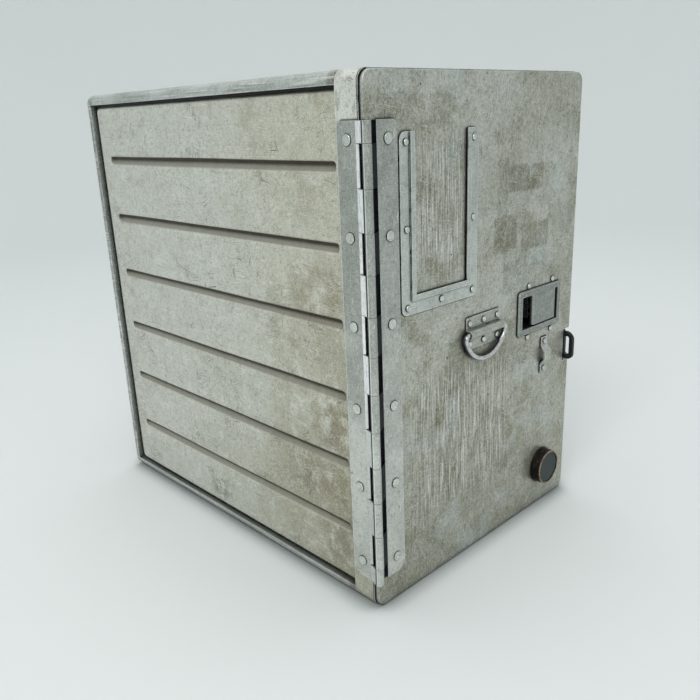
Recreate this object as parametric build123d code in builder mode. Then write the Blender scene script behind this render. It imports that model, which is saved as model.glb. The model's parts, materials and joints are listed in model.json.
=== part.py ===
"""Double-height galley container.

A riveted aluminium box with beaded side panels and one full-size front door.
The origin is the centre of the base, +Z is up and the door faces -Y.
All sizes are in millimetres.
"""
from build123d import *
import os
from math import acos, atan2, cos, degrees, hypot, sin, tan

# Overall size
WIDTH = 285.0
DEPTH = 402.0
HEIGHT = 420.0
CORNER_R = 9.0

LEFT = -WIDTH / 2
FRONT = -DEPTH / 2
MID_X = WIDTH / 2
MID_Z = HEIGHT / 2

# Sheets and frame. Depths are measured back from the door's face.
SHELL_T = 1.5
PANEL_T = 1.2
FRAME_T = 2.0
STRIP = 10.0
FRAME_WIDTH = 22.0
BODY_FRONT = 4.5
SIDE_LEG_REAR = 27.0
CAP_SEAM = 0.4
LIP_REAR = 16.0
REAR_FLANGE = 6.0

# Side panels: the field stands 3 mm in from the frame, its border 6 mm
FIELD_IN = 3.0
BAND_IN = 6.0
FIELD_DEPTHS = (12.0, 391.0)
FIELD_Z = (12.5, 407.5)
FIELD_EDGE_R = 1.5
BAND_DEPTHS = (12.0, 399.0)
BAND_Z = (4.0, 416.0)
BEAD_PITCH = 58.7
BEAD_COUNT = 6
BEAD_MID_Z = 209.2
BEAD_DEPTHS = (31.0, 375.0)
BEAD_WIDTH = 5.0
BEAD_PRESS = 4.5
BEAD_CREST_R = 3.3
BEAD_FLOOR_R = 2.2

# Door
DOOR_T = 3.5
DOOR_SHEET = 1.2
DOOR_LEFT_GAP = 0.4
DOOR_END_GAP = 1.0
DOOR_EDGE_R = 1.0
PAN_X = (25.0, 260.5)
PAN_Z = (25.0, 395.0)
PAN_REAR = 22.0
PAN_FLANGE = 5.5
PAN_R = 8.0
PAN_EDGE_R = 3.0
GASKET_MARGIN = 11.5
GASKET_WIDTH = 7.0
GASKET_REAR = 4.3
GASKET_R = 6.0
GASKET_BEVEL = 0.8

# Hinge: the pin stands off the corner, and both leaves ramp out to the barrel
PIN_X = -1.0
PIN_OUT = 3.5
PIN_R = 1.5
PIN_BORE_R = 1.55
PIN_BEVEL = 0.4
BARREL_R = 3.4
LEAF_T = 1.5
HINGE_BOTTOM = 26.5
KNUCKLE_PITCH = 30.0
KNUCKLE_SPANS = 12
KNUCKLE_GAP = 0.2
SIDE_LEAF_DEPTHS = (3.5, 25.0)
SIDE_RAMP_DEPTH = 6.5
DOOR_LEAF_X = (10.8, 31.6)
LEAF_TOP_R = 4.5
LEAF_BOTTOM_R = 10.0
HINGE_RIVET_Z = (41.5, 109.0, 175.5, 240.8, 306.5, 373.8)
DOOR_RIVET_X = 22.0
SIDE_RIVET_DEPTH = 15.0
FLAT_HEAD_R = 4.0
FLAT_HEAD_H = 0.9
FLAT_HEAD_EDGE = 0.5

# Dome rivets
DOME_R = 2.5
DOME_H = 1.5
SHANK_R = 1.3
HOLE_PLAY = 0.05
TAIL_R = 1.95
TAIL_H = 0.7
DOME_EDGE = 0.95
LOW_HEAD_R = 1.95
LOW_HEAD_H = 0.6
LOW_HEAD_EDGE = 0.4

# Card holder
CARD_X = (34.0, 127.0)
CARD_Z = (243.0, 377.6)
CARD_FLAT = 11.5
CARD_STRIP = 15.0
CARD_STANDOFF = 2.6
CARD_T = 1.0
CARD_CORNER_R = 6.0
CARD_FOLD_R = 0.4
CARD_RIVETS = [
    (40.5, 370.3), (40.5, 308.3), (40.5, 248.8), (80.5, 248.8),
    (120.5, 248.8), (120.5, 308.3), (120.5, 370.3),
]

# Ring plate and pull ring
RING_X = 137.15
RING_Z = 210.5
RING_PLATE = (47.3, 28.7)
RING_PLATE_T = 1.2
RING_PLATE_R = 1.5
RING_RIVET_DX = 19.6
RING_RIVET_DZ = 8.9
WIRE_R = 2.3
SADDLE_BORE_R = 2.38
SADDLE_R = 3.6
RING_OUT = 3.9
RING_BAR = 24.0
RING_HALF_WIDTH = 27.95
RING_DROP = 24.7

# Paddle latch
LATCH_X = 225.5
LATCH_Z = 210.5
BEZEL = (70.5, 42.0)
BEZEL_T = 2.2
BEZEL_R = 3.0
BEZEL_BEVEL = 0.9
CUP = (60.0, 31.0)
CUP_CENTRE_X = 226.0
CUP_WALL = 1.2
CUP_DEPTH = 13.0
CUP_PLAY = 0.2
CUP_R = 0.8
BACKING_X = (189.0, 258.9)
BACKING_Z = (180.5, 240.5)
PIVOT_X = 252.4
PIVOT_DEPTH = 2.2
PIVOT_R = 3.0
PADDLE_LEFT = 216.0
PADDLE_HEIGHT = 29.0
PADDLE_OUT = 0.8
PADDLE_T = 2.0
PADDLE_ROLL_R = 2.6
ARM_REACH = 8.2
ARM_R = 1.5
ARM_HEIGHT = 8.0
BOLT_DEPTHS = (8.6, 12.4)
BOLT_X = (232.0, 262.3)
BOLT_HEIGHT = 12.0
BOLT_PLAY = 0.6
BOLT_BEVEL = 2.5
WINDOW_PLAY = 0.8
GUIDE_X = (220.0, 243.0)
GUIDE_T = 1.2
GUIDE_HALF = 10.0
GUIDE_FOOT = 3.0
STRAP_WIDTH = 4.0
SPRING_R = 2.0
SPRING_WIRE_R = 0.35
SPRING_TURNS = 6
LATCH_RIVETS = [(207.6, 234.9), (247.5, 234.9), (207.6, 186.1), (247.5, 186.1)]
STRIKE_HEIGHT = 28.0
STRIKE_T = 1.5
STRIKE_R = 1.5
STRIKE_DEPTHS = (6.7, 15.7)
STRIKE_RIVET_DZ = 10.5

# Seal bridge
BRIDGE_X = (231.2, 241.4)
BRIDGE_Z = (144.5, 180.0)
BRIDGE_FOOT = 8.0
BRIDGE_SLOPE = 5.5
BRIDGE_RISE = 6.0
BRIDGE_T = 1.4
BRIDGE_RIVET_INSET = 3.9

# Seal eye
EYE_X = (275.2, 278.8)
EYE_Z = (148.0, 176.0)
EYE_OUT = 9.8
EYE_TOP_R = 8.5
EYE_BOTTOM_R = 5.0
EYE_HOLE_Z = (152.6, 171.4)
EYE_HOLE_OUT = (0.7, 5.9)
EYE_HOLE_R = 2.2
EYE_FOOT_X = 283.2
EYE_FOOT_T = 1.4
EYE_RIVET_DZ = 9.0
NOTCH_X = 274.0
NOTCH_PLAY = 2.5

# Round buffer
BUFFER_X = 241.0
BUFFER_Z = 42.0
BUFFER_R = 17.5
BUFFER_OUT = 10.0
BUFFER_WALL = 1.6
BUFFER_RECESS = 0.7
BUFFER_BASE_T = 2.0
BUFFER_HEAD_R = 5.0
BUFFER_HEAD_H = 2.0
BUFFER_HEAD_PLAY = 0.4
PAD_PLAY = 0.05
PAD_BEVEL = 0.6
BUFFER_EDGE_R = 0.6

# How far from a level its edges are looked for
TOLERANCE = 0.01

# Planes. On DOOR local x is the distance from the left edge and local y the height; on SIDE
# local x is minus the depth; on PLAN local x is the distance from the left and local y the depth.
DOOR = Plane(origin=(LEFT, FRONT, 0), x_dir=(1, 0, 0), z_dir=(0, -1, 0))
SIDE = Plane(origin=(LEFT, FRONT, 0), x_dir=(0, -1, 0), z_dir=(-1, 0, 0))
PLAN = Plane(origin=(LEFT, FRONT, 0), x_dir=(1, 0, 0), z_dir=(0, 0, 1))
PROFILE = Plane(origin=(LEFT, FRONT, 0), x_dir=(0, 1, 0), z_dir=(1, 0, 0))
HALF_HEIGHT = Plane.XY.offset(MID_Z)

os.makedirs("parts", exist_ok=True)


def save(builder, name):
    """Label a finished piece and write its STEP file."""
    builder.part.label = name
    export_step(builder.part, f"parts/{name}.step")


def span(x_range, y_range, mode=Mode.ADD):
    """Draw a rectangle between two x values and two y values of the sketch plane."""
    with Locations((sum(x_range) / 2, sum(y_range) / 2)):
        Rectangle(abs(x_range[1] - x_range[0]), abs(y_range[1] - y_range[0]), mode=mode)


def edges_at(x):
    """Edges of the current part that lie in one upright plane across the container."""
    return edges().filter_by_position(Axis.X, x - TOLERANCE, x + TOLERANCE)


def holes(plane, points, depth):
    """Cut rivet holes inward from a plane."""
    with BuildSketch(plane) as shank_holes:
        with Locations(*points):
            Circle(SHANK_R + HOLE_PLAY)
    extrude(shank_holes.sketch, amount=-depth, mode=Mode.SUBTRACT)


def rivets(plane, points, grip, head_r=DOME_R, head_h=DOME_H, edge_r=DOME_EDGE):
    """Make headed rivets that stand on a plane, with shanks and set tails behind it."""
    with BuildSketch(plane) as heads:
        with Locations(*points):
            Circle(head_r)
    extrude(heads.sketch, amount=head_h)
    outward = Axis(plane.origin, plane.z_dir)
    fillet(edges().filter_by(GeomType.CIRCLE).group_by(outward)[-1], radius=edge_r)
    with BuildSketch(plane) as shanks:
        with Locations(*points):
            Circle(SHANK_R)
    extrude(shanks.sketch, amount=-grip)
    with BuildSketch(plane.offset(-grip)) as tails:
        with Locations(*points):
            Circle(TAIL_R)
    extrude(tails.sketch, amount=-TAIL_H)


# ------------------------------------------------------------ body shell

INNER_WIDTH = WIDTH - 2 * SHELL_T
INNER_HEIGHT = HEIGHT - 2 * SHELL_T
INNER_R = CORNER_R - SHELL_T
BODY_DEPTH = DEPTH - BODY_FRONT
TOP_RETURN_Z = (HEIGHT - STRIP, HEIGHT - STRIP + SHELL_T)

with BuildPart() as top_panel:
    with BuildSketch(DOOR.offset(-BODY_FRONT)):
        with Locations((MID_X, MID_Z)):
            RectangleRounded(WIDTH, HEIGHT, CORNER_R)
            RectangleRounded(INNER_WIDTH, INNER_HEIGHT, INNER_R, mode=Mode.SUBTRACT)
        span((0, WIDTH), (0, HEIGHT - STRIP), mode=Mode.SUBTRACT)
    extrude(amount=-BODY_DEPTH)
    with BuildSketch(DOOR.offset(-SIDE_LEG_REAR)):
        span((0, BAND_IN), TOP_RETURN_Z)
        span((WIDTH - BAND_IN, WIDTH), TOP_RETURN_Z)
    extrude(amount=-(DEPTH - REAR_FLANGE - SIDE_LEG_REAR))
    with BuildSketch(DOOR.offset(-BODY_FRONT)):
        span((0, CORNER_R), (HEIGHT - STRIP, HEIGHT))
        span((WIDTH - CORNER_R, WIDTH), (HEIGHT - STRIP, HEIGHT))
    extrude(amount=-(SIDE_LEG_REAR + CAP_SEAM - BODY_FRONT), mode=Mode.SUBTRACT)
save(top_panel, "top_panel")

with BuildPart() as bottom_panel:
    mirror(top_panel.part, about=HALF_HEIGHT)
save(bottom_panel, "bottom_panel")

with BuildPart() as rear_panel:
    with BuildSketch(DOOR.offset(-(DEPTH - REAR_FLANGE))):
        with Locations((MID_X, MID_Z)):
            RectangleRounded(INNER_WIDTH, INNER_HEIGHT, INNER_R)
            Rectangle(WIDTH, HEIGHT - 2 * STRIP)
    extrude(amount=-REAR_FLANGE)
    with BuildSketch(DOOR.offset(-(DEPTH - REAR_FLANGE))):
        with Locations((MID_X, MID_Z)):
            RectangleRounded(INNER_WIDTH - 2 * SHELL_T, INNER_HEIGHT - 2 * SHELL_T, INNER_R - SHELL_T)
            Rectangle(WIDTH - 2 * SHELL_T, HEIGHT - 2 * STRIP - 2 * SHELL_T)
    extrude(amount=-(REAR_FLANGE - SHELL_T), mode=Mode.SUBTRACT)
    with BuildSketch(DOOR.offset(-(DEPTH - REAR_FLANGE))):
        for side_x in ((0, BAND_IN), (WIDTH - BAND_IN, WIDTH)):
            span(side_x, (STRIP, HEIGHT - STRIP))
    extrude(amount=-SHELL_T)
save(rear_panel, "rear_panel")

with BuildPart() as left_side_panel:
    with BuildSketch(SIDE.offset(-BAND_IN)):
        span((-BAND_DEPTHS[0], -BAND_DEPTHS[1]), BAND_Z)
    extrude(amount=-PANEL_T)
    with BuildSketch(SIDE.offset(-FIELD_IN)):
        span((-FIELD_DEPTHS[0], -FIELD_DEPTHS[1]), FIELD_Z)
    extrude(amount=-(BAND_IN + PANEL_T - FIELD_IN))
    fillet(edges_at(LEFT + FIELD_IN), radius=FIELD_EDGE_R)
    with BuildSketch(SIDE.offset(-(FIELD_IN + PANEL_T))):
        span(
            (-FIELD_DEPTHS[0] - PANEL_T, -FIELD_DEPTHS[1] + PANEL_T),
            (FIELD_Z[0] + PANEL_T, FIELD_Z[1] - PANEL_T),
        )
    extrude(amount=-BAND_IN, mode=Mode.SUBTRACT)
    bead_length = BEAD_DEPTHS[1] - BEAD_DEPTHS[0]
    bead_centre = (-sum(BEAD_DEPTHS) / 2, BEAD_MID_Z)
    with BuildSketch(SIDE.offset(-(FIELD_IN + PANEL_T))):
        with Locations(bead_centre):
            with GridLocations(0, BEAD_PITCH, 1, BEAD_COUNT):
                SlotOverall(bead_length + 2 * PANEL_T, BEAD_WIDTH + 2 * PANEL_T)
    extrude(amount=-BEAD_PRESS)
    fillet(edges_at(LEFT + FIELD_IN + PANEL_T + BEAD_PRESS), radius=BEAD_CREST_R)
    with BuildSketch(SIDE.offset(-FIELD_IN)):
        with Locations(bead_centre):
            with GridLocations(0, BEAD_PITCH, 1, BEAD_COUNT):
                SlotOverall(bead_length, BEAD_WIDTH)
    extrude(amount=-BEAD_PRESS, mode=Mode.SUBTRACT)
    fillet(edges_at(LEFT + FIELD_IN + BEAD_PRESS), radius=BEAD_FLOOR_R)
save(left_side_panel, "left_side_panel")

with BuildPart() as right_side_panel:
    mirror(left_side_panel.part, about=Plane.YZ)
save(right_side_panel, "right_side_panel")

# ------------------------------------------------------------ front frame

OPENING_Z = (FRAME_WIDTH, HEIGHT - FRAME_WIDTH)
OPENING_WIDTH = WIDTH - 2 * FRAME_WIDTH
LIP_X = (FRAME_WIDTH - FRAME_T, FRAME_WIDTH)

# Each post ends in caps that carry the shell's rounded corners as far back as its side leg.
with BuildPart() as post_blank:
    with BuildSketch(DOOR.offset(-BODY_FRONT)):
        with Locations((MID_X, MID_Z)):
            RectangleRounded(INNER_WIDTH, INNER_HEIGHT, INNER_R)
            Rectangle(WIDTH, HEIGHT - 2 * STRIP)
        span((FRAME_WIDTH, WIDTH), (0, HEIGHT), mode=Mode.SUBTRACT)
    extrude(amount=-FRAME_T)
    with BuildSketch(PLAN.offset(STRIP)):
        span((0, FRAME_T), (BODY_FRONT, SIDE_LEG_REAR))
        span((0, FIELD_IN), (SIDE_LEG_REAR - FRAME_T, SIDE_LEG_REAR))
    extrude(amount=HEIGHT - 2 * STRIP)
    with BuildSketch(PLAN.offset(SHELL_T)):
        span(LIP_X, (BODY_FRONT, LIP_REAR))
    extrude(amount=INNER_HEIGHT)
    with BuildSketch(DOOR.offset(-BODY_FRONT)):
        with Locations((MID_X, MID_Z)):
            RectangleRounded(WIDTH, HEIGHT, CORNER_R)
            RectangleRounded(INNER_WIDTH, INNER_HEIGHT, INNER_R, mode=Mode.SUBTRACT)
        span((CORNER_R, WIDTH), (0, HEIGHT), mode=Mode.SUBTRACT)
        span((0, WIDTH), (STRIP, HEIGHT - STRIP), mode=Mode.SUBTRACT)
    extrude(amount=-(SIDE_LEG_REAR - BODY_FRONT))

with BuildPart() as front_post_left:
    add(post_blank.part)
    holes(SIDE, [(-SIDE_RIVET_DEPTH, z) for z in HINGE_RIVET_Z], FRAME_T)
save(front_post_left, "front_post_left")

BOLT_SLOT_Z = (LATCH_Z - BOLT_HEIGHT / 2 - BOLT_PLAY, LATCH_Z + BOLT_HEIGHT / 2 + BOLT_PLAY)
BOLT_SLOT_DEPTHS = (BOLT_DEPTHS[0] - BOLT_PLAY, BOLT_DEPTHS[1] + BOLT_PLAY)
BOLT_SLOT_LOCAL = (-BOLT_SLOT_DEPTHS[0], -BOLT_SLOT_DEPTHS[1])
STRIKE_CENTRE = (-sum(STRIKE_DEPTHS) / 2, LATCH_Z)
STRIKE_WIDTH = STRIKE_DEPTHS[1] - STRIKE_DEPTHS[0]
STRIKE = Plane(
    origin=(LEFT + WIDTH - FRAME_WIDTH, FRONT, 0),
    x_dir=(0, -1, 0),
    z_dir=(-1, 0, 0),
)
strike_points = [(STRIKE_CENTRE[0], LATCH_Z + dz) for dz in (-STRIKE_RIVET_DZ, STRIKE_RIVET_DZ)]
eye_foot_mid = (EYE_X[1] + EYE_FOOT_X) / 2
eye_points = [(eye_foot_mid, sum(EYE_Z) / 2 + dz) for dz in (-EYE_RIVET_DZ, EYE_RIVET_DZ)]

with BuildPart() as front_post_right:
    mirror(post_blank.part, about=Plane.YZ)
    with BuildSketch(STRIKE):
        span(BOLT_SLOT_LOCAL, BOLT_SLOT_Z)
    extrude(amount=-FRAME_T, mode=Mode.SUBTRACT)
    holes(STRIKE, strike_points, FRAME_T)
    holes(DOOR.offset(-BODY_FRONT), eye_points, FRAME_T)
save(front_post_right, "front_post_right")

with BuildPart() as front_header:
    with BuildSketch(PROFILE.offset(FRAME_WIDTH)):
        span((BODY_FRONT, BODY_FRONT + FRAME_T), (OPENING_Z[1], HEIGHT - SHELL_T))
        span((BODY_FRONT, LIP_REAR), (OPENING_Z[1], OPENING_Z[1] + FRAME_T))
        span((BODY_FRONT, SIDE_LEG_REAR), (HEIGHT - SHELL_T - FRAME_T, HEIGHT - SHELL_T))
    extrude(amount=OPENING_WIDTH)
save(front_header, "front_header")

with BuildPart() as front_sill:
    mirror(front_header.part, about=HALF_HEIGHT)
save(front_sill, "front_sill")

with BuildPart() as strike_plate:
    with BuildSketch(STRIKE.offset(-FRAME_T)):
        with Locations(STRIKE_CENTRE):
            RectangleRounded(STRIKE_WIDTH, STRIKE_HEIGHT, STRIKE_R)
        span(BOLT_SLOT_LOCAL, BOLT_SLOT_Z, mode=Mode.SUBTRACT)
    extrude(amount=-STRIKE_T)
    holes(STRIKE, strike_points, FRAME_T + STRIKE_T)
save(strike_plate, "strike_plate")

with BuildPart() as strike_rivets:
    rivets(STRIKE, strike_points, FRAME_T + STRIKE_T, LOW_HEAD_R, LOW_HEAD_H, LOW_HEAD_EDGE)
save(strike_rivets, "strike_rivets")

# ------------------------------------------------------------ seal eye

EYE = Plane(origin=(LEFT + EYE_X[0], FRONT, 0), x_dir=(0, 1, 0), z_dir=(1, 0, 0))
EYE_FOOT = DOOR.offset(-BODY_FRONT + EYE_FOOT_T)
EYE_HOLE = (EYE_HOLE_OUT[1] - EYE_HOLE_OUT[0], EYE_HOLE_Z[1] - EYE_HOLE_Z[0])

with BuildPart() as seal_eye:
    with BuildSketch(EYE):
        with BuildLine():
            Line((BODY_FRONT, EYE_Z[0]), (BODY_FRONT, EYE_Z[1]))
            Line((BODY_FRONT, EYE_Z[1]), (EYE_TOP_R - EYE_OUT, EYE_Z[1]))
            RadiusArc((EYE_TOP_R - EYE_OUT, EYE_Z[1]), (-EYE_OUT, EYE_Z[1] - EYE_TOP_R), -EYE_TOP_R)
            Line((-EYE_OUT, EYE_Z[1] - EYE_TOP_R), (-EYE_OUT, EYE_Z[0] + EYE_BOTTOM_R))
            RadiusArc(
                (-EYE_OUT, EYE_Z[0] + EYE_BOTTOM_R),
                (EYE_BOTTOM_R - EYE_OUT, EYE_Z[0]),
                -EYE_BOTTOM_R,
            )
            Line((EYE_BOTTOM_R - EYE_OUT, EYE_Z[0]), (BODY_FRONT, EYE_Z[0]))
        make_face()
        with Locations((-sum(EYE_HOLE_OUT) / 2, sum(EYE_HOLE_Z) / 2)):
            RectangleRounded(*EYE_HOLE, EYE_HOLE_R, mode=Mode.SUBTRACT)
    extrude(amount=EYE_X[1] - EYE_X[0])
    with BuildSketch(EYE_FOOT):
        span((EYE_X[1], EYE_FOOT_X), EYE_Z)
    extrude(amount=-EYE_FOOT_T)
    holes(EYE_FOOT, eye_points, EYE_FOOT_T)
save(seal_eye, "seal_eye")

with BuildPart() as seal_eye_rivets:
    rivets(EYE_FOOT, eye_points, EYE_FOOT_T + FRAME_T, LOW_HEAD_R, LOW_HEAD_H, LOW_HEAD_EDGE)
save(seal_eye_rivets, "seal_eye_rivets")

# ------------------------------------------------------------ hinge

HINGE_LENGTH = KNUCKLE_PITCH * KNUCKLE_SPANS
HINGE_TOP = HINGE_BOTTOM + HINGE_LENGTH
PIN_POINT = (PIN_X, -PIN_OUT)

# Knuckles alternate up the pin; the two end ones are half length and belong to the body.
knuckle_edges = [HINGE_BOTTOM]
knuckle_edges += [HINGE_BOTTOM + KNUCKLE_PITCH * (k + 0.5) for k in range(KNUCKLE_SPANS)]
knuckle_edges += [HINGE_TOP]
knuckles = list(zip(knuckle_edges[:-1], knuckle_edges[1:]))
body_knuckles = knuckles[0::2]
door_knuckles = knuckles[1::2]


def ramp_point(outer, side, radius):
    """The point where a straight ramp from an outer point runs into the barrel."""
    dx = outer[0] - PIN_POINT[0]
    dy = outer[1] - PIN_POINT[1]
    angle = atan2(dy, dx) + side * acos(BARREL_R / hypot(dx, dy))
    return (PIN_POINT[0] + radius * cos(angle), PIN_POINT[1] + radius * sin(angle))


def leaf_knuckles(spans, outer, inner, side):
    """Barrel knuckles, with the ramps that join them to their leaf."""
    for low, high in spans:
        with BuildSketch(PLAN.offset(low + KNUCKLE_GAP)) as knuckle:
            with Locations(PIN_POINT):
                Circle(BARREL_R)
            with BuildLine():
                Polyline(
                    ramp_point(outer, side, BARREL_R),
                    outer,
                    inner,
                    ramp_point(outer, side, BARREL_R - LEAF_T),
                    close=True,
                )
            make_face()
        extrude(knuckle.sketch, amount=high - low - 2 * KNUCKLE_GAP)


def pin_bore():
    """Bore the whole height of the hinge for its pin."""
    with BuildSketch(PLAN.offset(HINGE_BOTTOM)) as bore:
        with Locations(PIN_POINT):
            Circle(PIN_BORE_R)
    extrude(bore.sketch, amount=HINGE_LENGTH, mode=Mode.SUBTRACT)


def leaf_blank(across):
    """A leaf's outline: rounded at its free edge, more at the bottom than at the top."""
    near, far = across
    turn = 1 if far > near else -1
    with BuildLine() as outline:
        Line((near, HINGE_BOTTOM), (near, HINGE_TOP))
        Line((near, HINGE_TOP), (far - turn * LEAF_TOP_R, HINGE_TOP))
        RadiusArc(
            (far - turn * LEAF_TOP_R, HINGE_TOP),
            (far, HINGE_TOP - LEAF_TOP_R),
            turn * LEAF_TOP_R,
        )
        Line((far, HINGE_TOP - LEAF_TOP_R), (far, HINGE_BOTTOM + LEAF_BOTTOM_R))
        RadiusArc(
            (far, HINGE_BOTTOM + LEAF_BOTTOM_R),
            (far - turn * LEAF_BOTTOM_R, HINGE_BOTTOM),
            turn * LEAF_BOTTOM_R,
        )
        Line((far - turn * LEAF_BOTTOM_R, HINGE_BOTTOM), (near, HINGE_BOTTOM))
    make_face(outline.edges())


SIDE_LEAF = SIDE.offset(LEAF_T)
DOOR_LEAF = DOOR.offset(LEAF_T)
side_leaf_points = [(-SIDE_RIVET_DEPTH, z) for z in HINGE_RIVET_Z]
door_leaf_points = [(DOOR_RIVET_X, z) for z in HINGE_RIVET_Z]

with BuildPart() as hinge_body_leaf:
    with BuildSketch(SIDE):
        leaf_blank((-SIDE_LEAF_DEPTHS[0], -SIDE_LEAF_DEPTHS[1]))
        for low, high in body_knuckles:
            tab_z = (low - KNUCKLE_GAP, high + KNUCKLE_GAP)
            span((-SIDE_LEAF_DEPTHS[0], -SIDE_RAMP_DEPTH), tab_z, mode=Mode.SUBTRACT)
    extrude(amount=LEAF_T)
    leaf_knuckles(body_knuckles, (-LEAF_T, SIDE_RAMP_DEPTH), (0, SIDE_RAMP_DEPTH), 1)
    pin_bore()
    holes(SIDE_LEAF, side_leaf_points, LEAF_T)
save(hinge_body_leaf, "hinge_body_leaf")

with BuildPart() as hinge_door_leaf:
    with BuildSketch(DOOR):
        leaf_blank(DOOR_LEAF_X)
    extrude(amount=LEAF_T)
    leaf_knuckles(door_knuckles, (DOOR_LEAF_X[0], -LEAF_T), (DOOR_LEAF_X[0], 0), -1)
    pin_bore()
    holes(DOOR_LEAF, door_leaf_points, LEAF_T)
save(hinge_door_leaf, "hinge_door_leaf")

with BuildPart() as hinge_pin:
    with BuildSketch(PLAN.offset(HINGE_BOTTOM)):
        with Locations(PIN_POINT):
            Circle(PIN_R)
    extrude(amount=HINGE_LENGTH)
    chamfer(edges().filter_by(GeomType.CIRCLE), length=PIN_BEVEL)
save(hinge_pin, "hinge_pin")

with BuildPart() as hinge_body_rivets:
    rivets(SIDE_LEAF, side_leaf_points, LEAF_T + FRAME_T, FLAT_HEAD_R, FLAT_HEAD_H, FLAT_HEAD_EDGE)
save(hinge_body_rivets, "hinge_body_rivets")

with BuildPart() as hinge_door_rivets:
    door_leaf_grip = LEAF_T + 2 * DOOR_SHEET
    rivets(DOOR_LEAF, door_leaf_points, door_leaf_grip, FLAT_HEAD_R, FLAT_HEAD_H, FLAT_HEAD_EDGE)
save(hinge_door_rivets, "hinge_door_rivets")

# ------------------------------------------------------------ door

ring_points = [
    (RING_X + dx, RING_Z + dz)
    for dx in (-RING_RIVET_DX, 0, RING_RIVET_DX)
    for dz in (-RING_RIVET_DZ, RING_RIVET_DZ)
]
BRIDGE_MID = sum(BRIDGE_X) / 2
bridge_points = [
    (BRIDGE_MID, BRIDGE_Z[0] + BRIDGE_RIVET_INSET),
    (BRIDGE_MID, BRIDGE_Z[1] - BRIDGE_RIVET_INSET),
]
buffer_points = [(BUFFER_X, BUFFER_Z)]
door_points = CARD_RIVETS + ring_points + bridge_points + LATCH_RIVETS
door_points += door_leaf_points + buffer_points

DOOR_WIDTH = WIDTH - DOOR_LEFT_GAP
DOOR_HEIGHT = HEIGHT - 2 * DOOR_END_GAP
DOOR_CENTRE = (DOOR_LEFT_GAP + DOOR_WIDTH / 2, MID_Z)
DOOR_HOLLOW = (DOOR_WIDTH - 2 * DOOR_SHEET, DOOR_HEIGHT - 2 * DOOR_SHEET)
NOTCH_Z = (EYE_Z[0] - NOTCH_PLAY, EYE_Z[1] + NOTCH_PLAY)
CUP_OUTER = (CUP[0] + 2 * CUP_WALL, CUP[1] + 2 * CUP_WALL)
CUP_HOLE = (CUP_OUTER[0] + 2 * CUP_PLAY, CUP_OUTER[1] + 2 * CUP_PLAY)
CUP_CENTRE = (CUP_CENTRE_X, LATCH_Z)

with BuildPart() as door_skin:
    with BuildSketch(DOOR.offset(-DOOR_T)):
        with Locations(DOOR_CENTRE):
            RectangleRounded(DOOR_WIDTH, DOOR_HEIGHT, CORNER_R)
    extrude(amount=DOOR_T)
    fillet(faces().sort_by(Axis.Y)[0].edges(), radius=DOOR_EDGE_R)
    with BuildSketch(DOOR.offset(-DOOR_T)):
        with Locations(DOOR_CENTRE):
            RectangleRounded(*DOOR_HOLLOW, CORNER_R - DOOR_SHEET)
    extrude(amount=DOOR_T - DOOR_SHEET, mode=Mode.SUBTRACT)
    with BuildSketch(DOOR):
        span((NOTCH_X, WIDTH), NOTCH_Z)
        with Locations(CUP_CENTRE):
            RectangleRounded(*CUP_HOLE, CUP_R + CUP_WALL)
    extrude(amount=-DOOR_T, mode=Mode.SUBTRACT)
    holes(DOOR, door_points, DOOR_SHEET)
save(door_skin, "door_skin")

PAN_SIZE = (PAN_X[1] - PAN_X[0], PAN_Z[1] - PAN_Z[0])
PAN_RIM = (PAN_SIZE[0] + 2 * PAN_FLANGE, PAN_SIZE[1] + 2 * PAN_FLANGE)
PAN_INSIDE = (PAN_SIZE[0] - 2 * DOOR_SHEET, PAN_SIZE[1] - 2 * DOOR_SHEET)
PAN_CENTRE = (sum(PAN_X) / 2, sum(PAN_Z) / 2)

with BuildPart() as door_inner_pan:
    with BuildSketch(DOOR.offset(-DOOR_SHEET)):
        with Locations(PAN_CENTRE):
            RectangleRounded(*PAN_SIZE, PAN_R)
    extrude(amount=-(PAN_REAR - DOOR_SHEET))
    fillet(faces().sort_by(Axis.Y)[-1].edges(), radius=PAN_EDGE_R)
    with BuildSketch(DOOR.offset(-DOOR_SHEET)):
        with Locations(PAN_CENTRE):
            RectangleRounded(*PAN_RIM, PAN_R)
    extrude(amount=-DOOR_SHEET)
    with BuildSketch(DOOR.offset(-DOOR_SHEET)):
        with Locations(PAN_CENTRE):
            RectangleRounded(*PAN_INSIDE, PAN_R - DOOR_SHEET)
    extrude(amount=-(PAN_REAR - 2 * DOOR_SHEET), mode=Mode.SUBTRACT)
    with BuildSketch(PROFILE.offset(PAN_X[1])):
        span(BOLT_SLOT_DEPTHS, BOLT_SLOT_Z)
    extrude(amount=-DOOR_SHEET, mode=Mode.SUBTRACT)
    holes(DOOR, door_leaf_points, 2 * DOOR_SHEET)
save(door_inner_pan, "door_inner_pan")

GASKET_INSIDE = GASKET_MARGIN + GASKET_WIDTH

with BuildPart() as door_gasket:
    with BuildSketch(DOOR.offset(-DOOR_SHEET)):
        with Locations((MID_X, MID_Z)):
            RectangleRounded(WIDTH - 2 * GASKET_MARGIN, HEIGHT - 2 * GASKET_MARGIN, GASKET_R)
            Rectangle(WIDTH - 2 * GASKET_INSIDE, HEIGHT - 2 * GASKET_INSIDE, mode=Mode.SUBTRACT)
    extrude(amount=-(GASKET_REAR - DOOR_SHEET))
    chamfer(faces().sort_by(Axis.Y)[-1].outer_wire().edges(), length=GASKET_BEVEL)
save(door_gasket, "door_gasket")

# ------------------------------------------------------------ card holder


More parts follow.
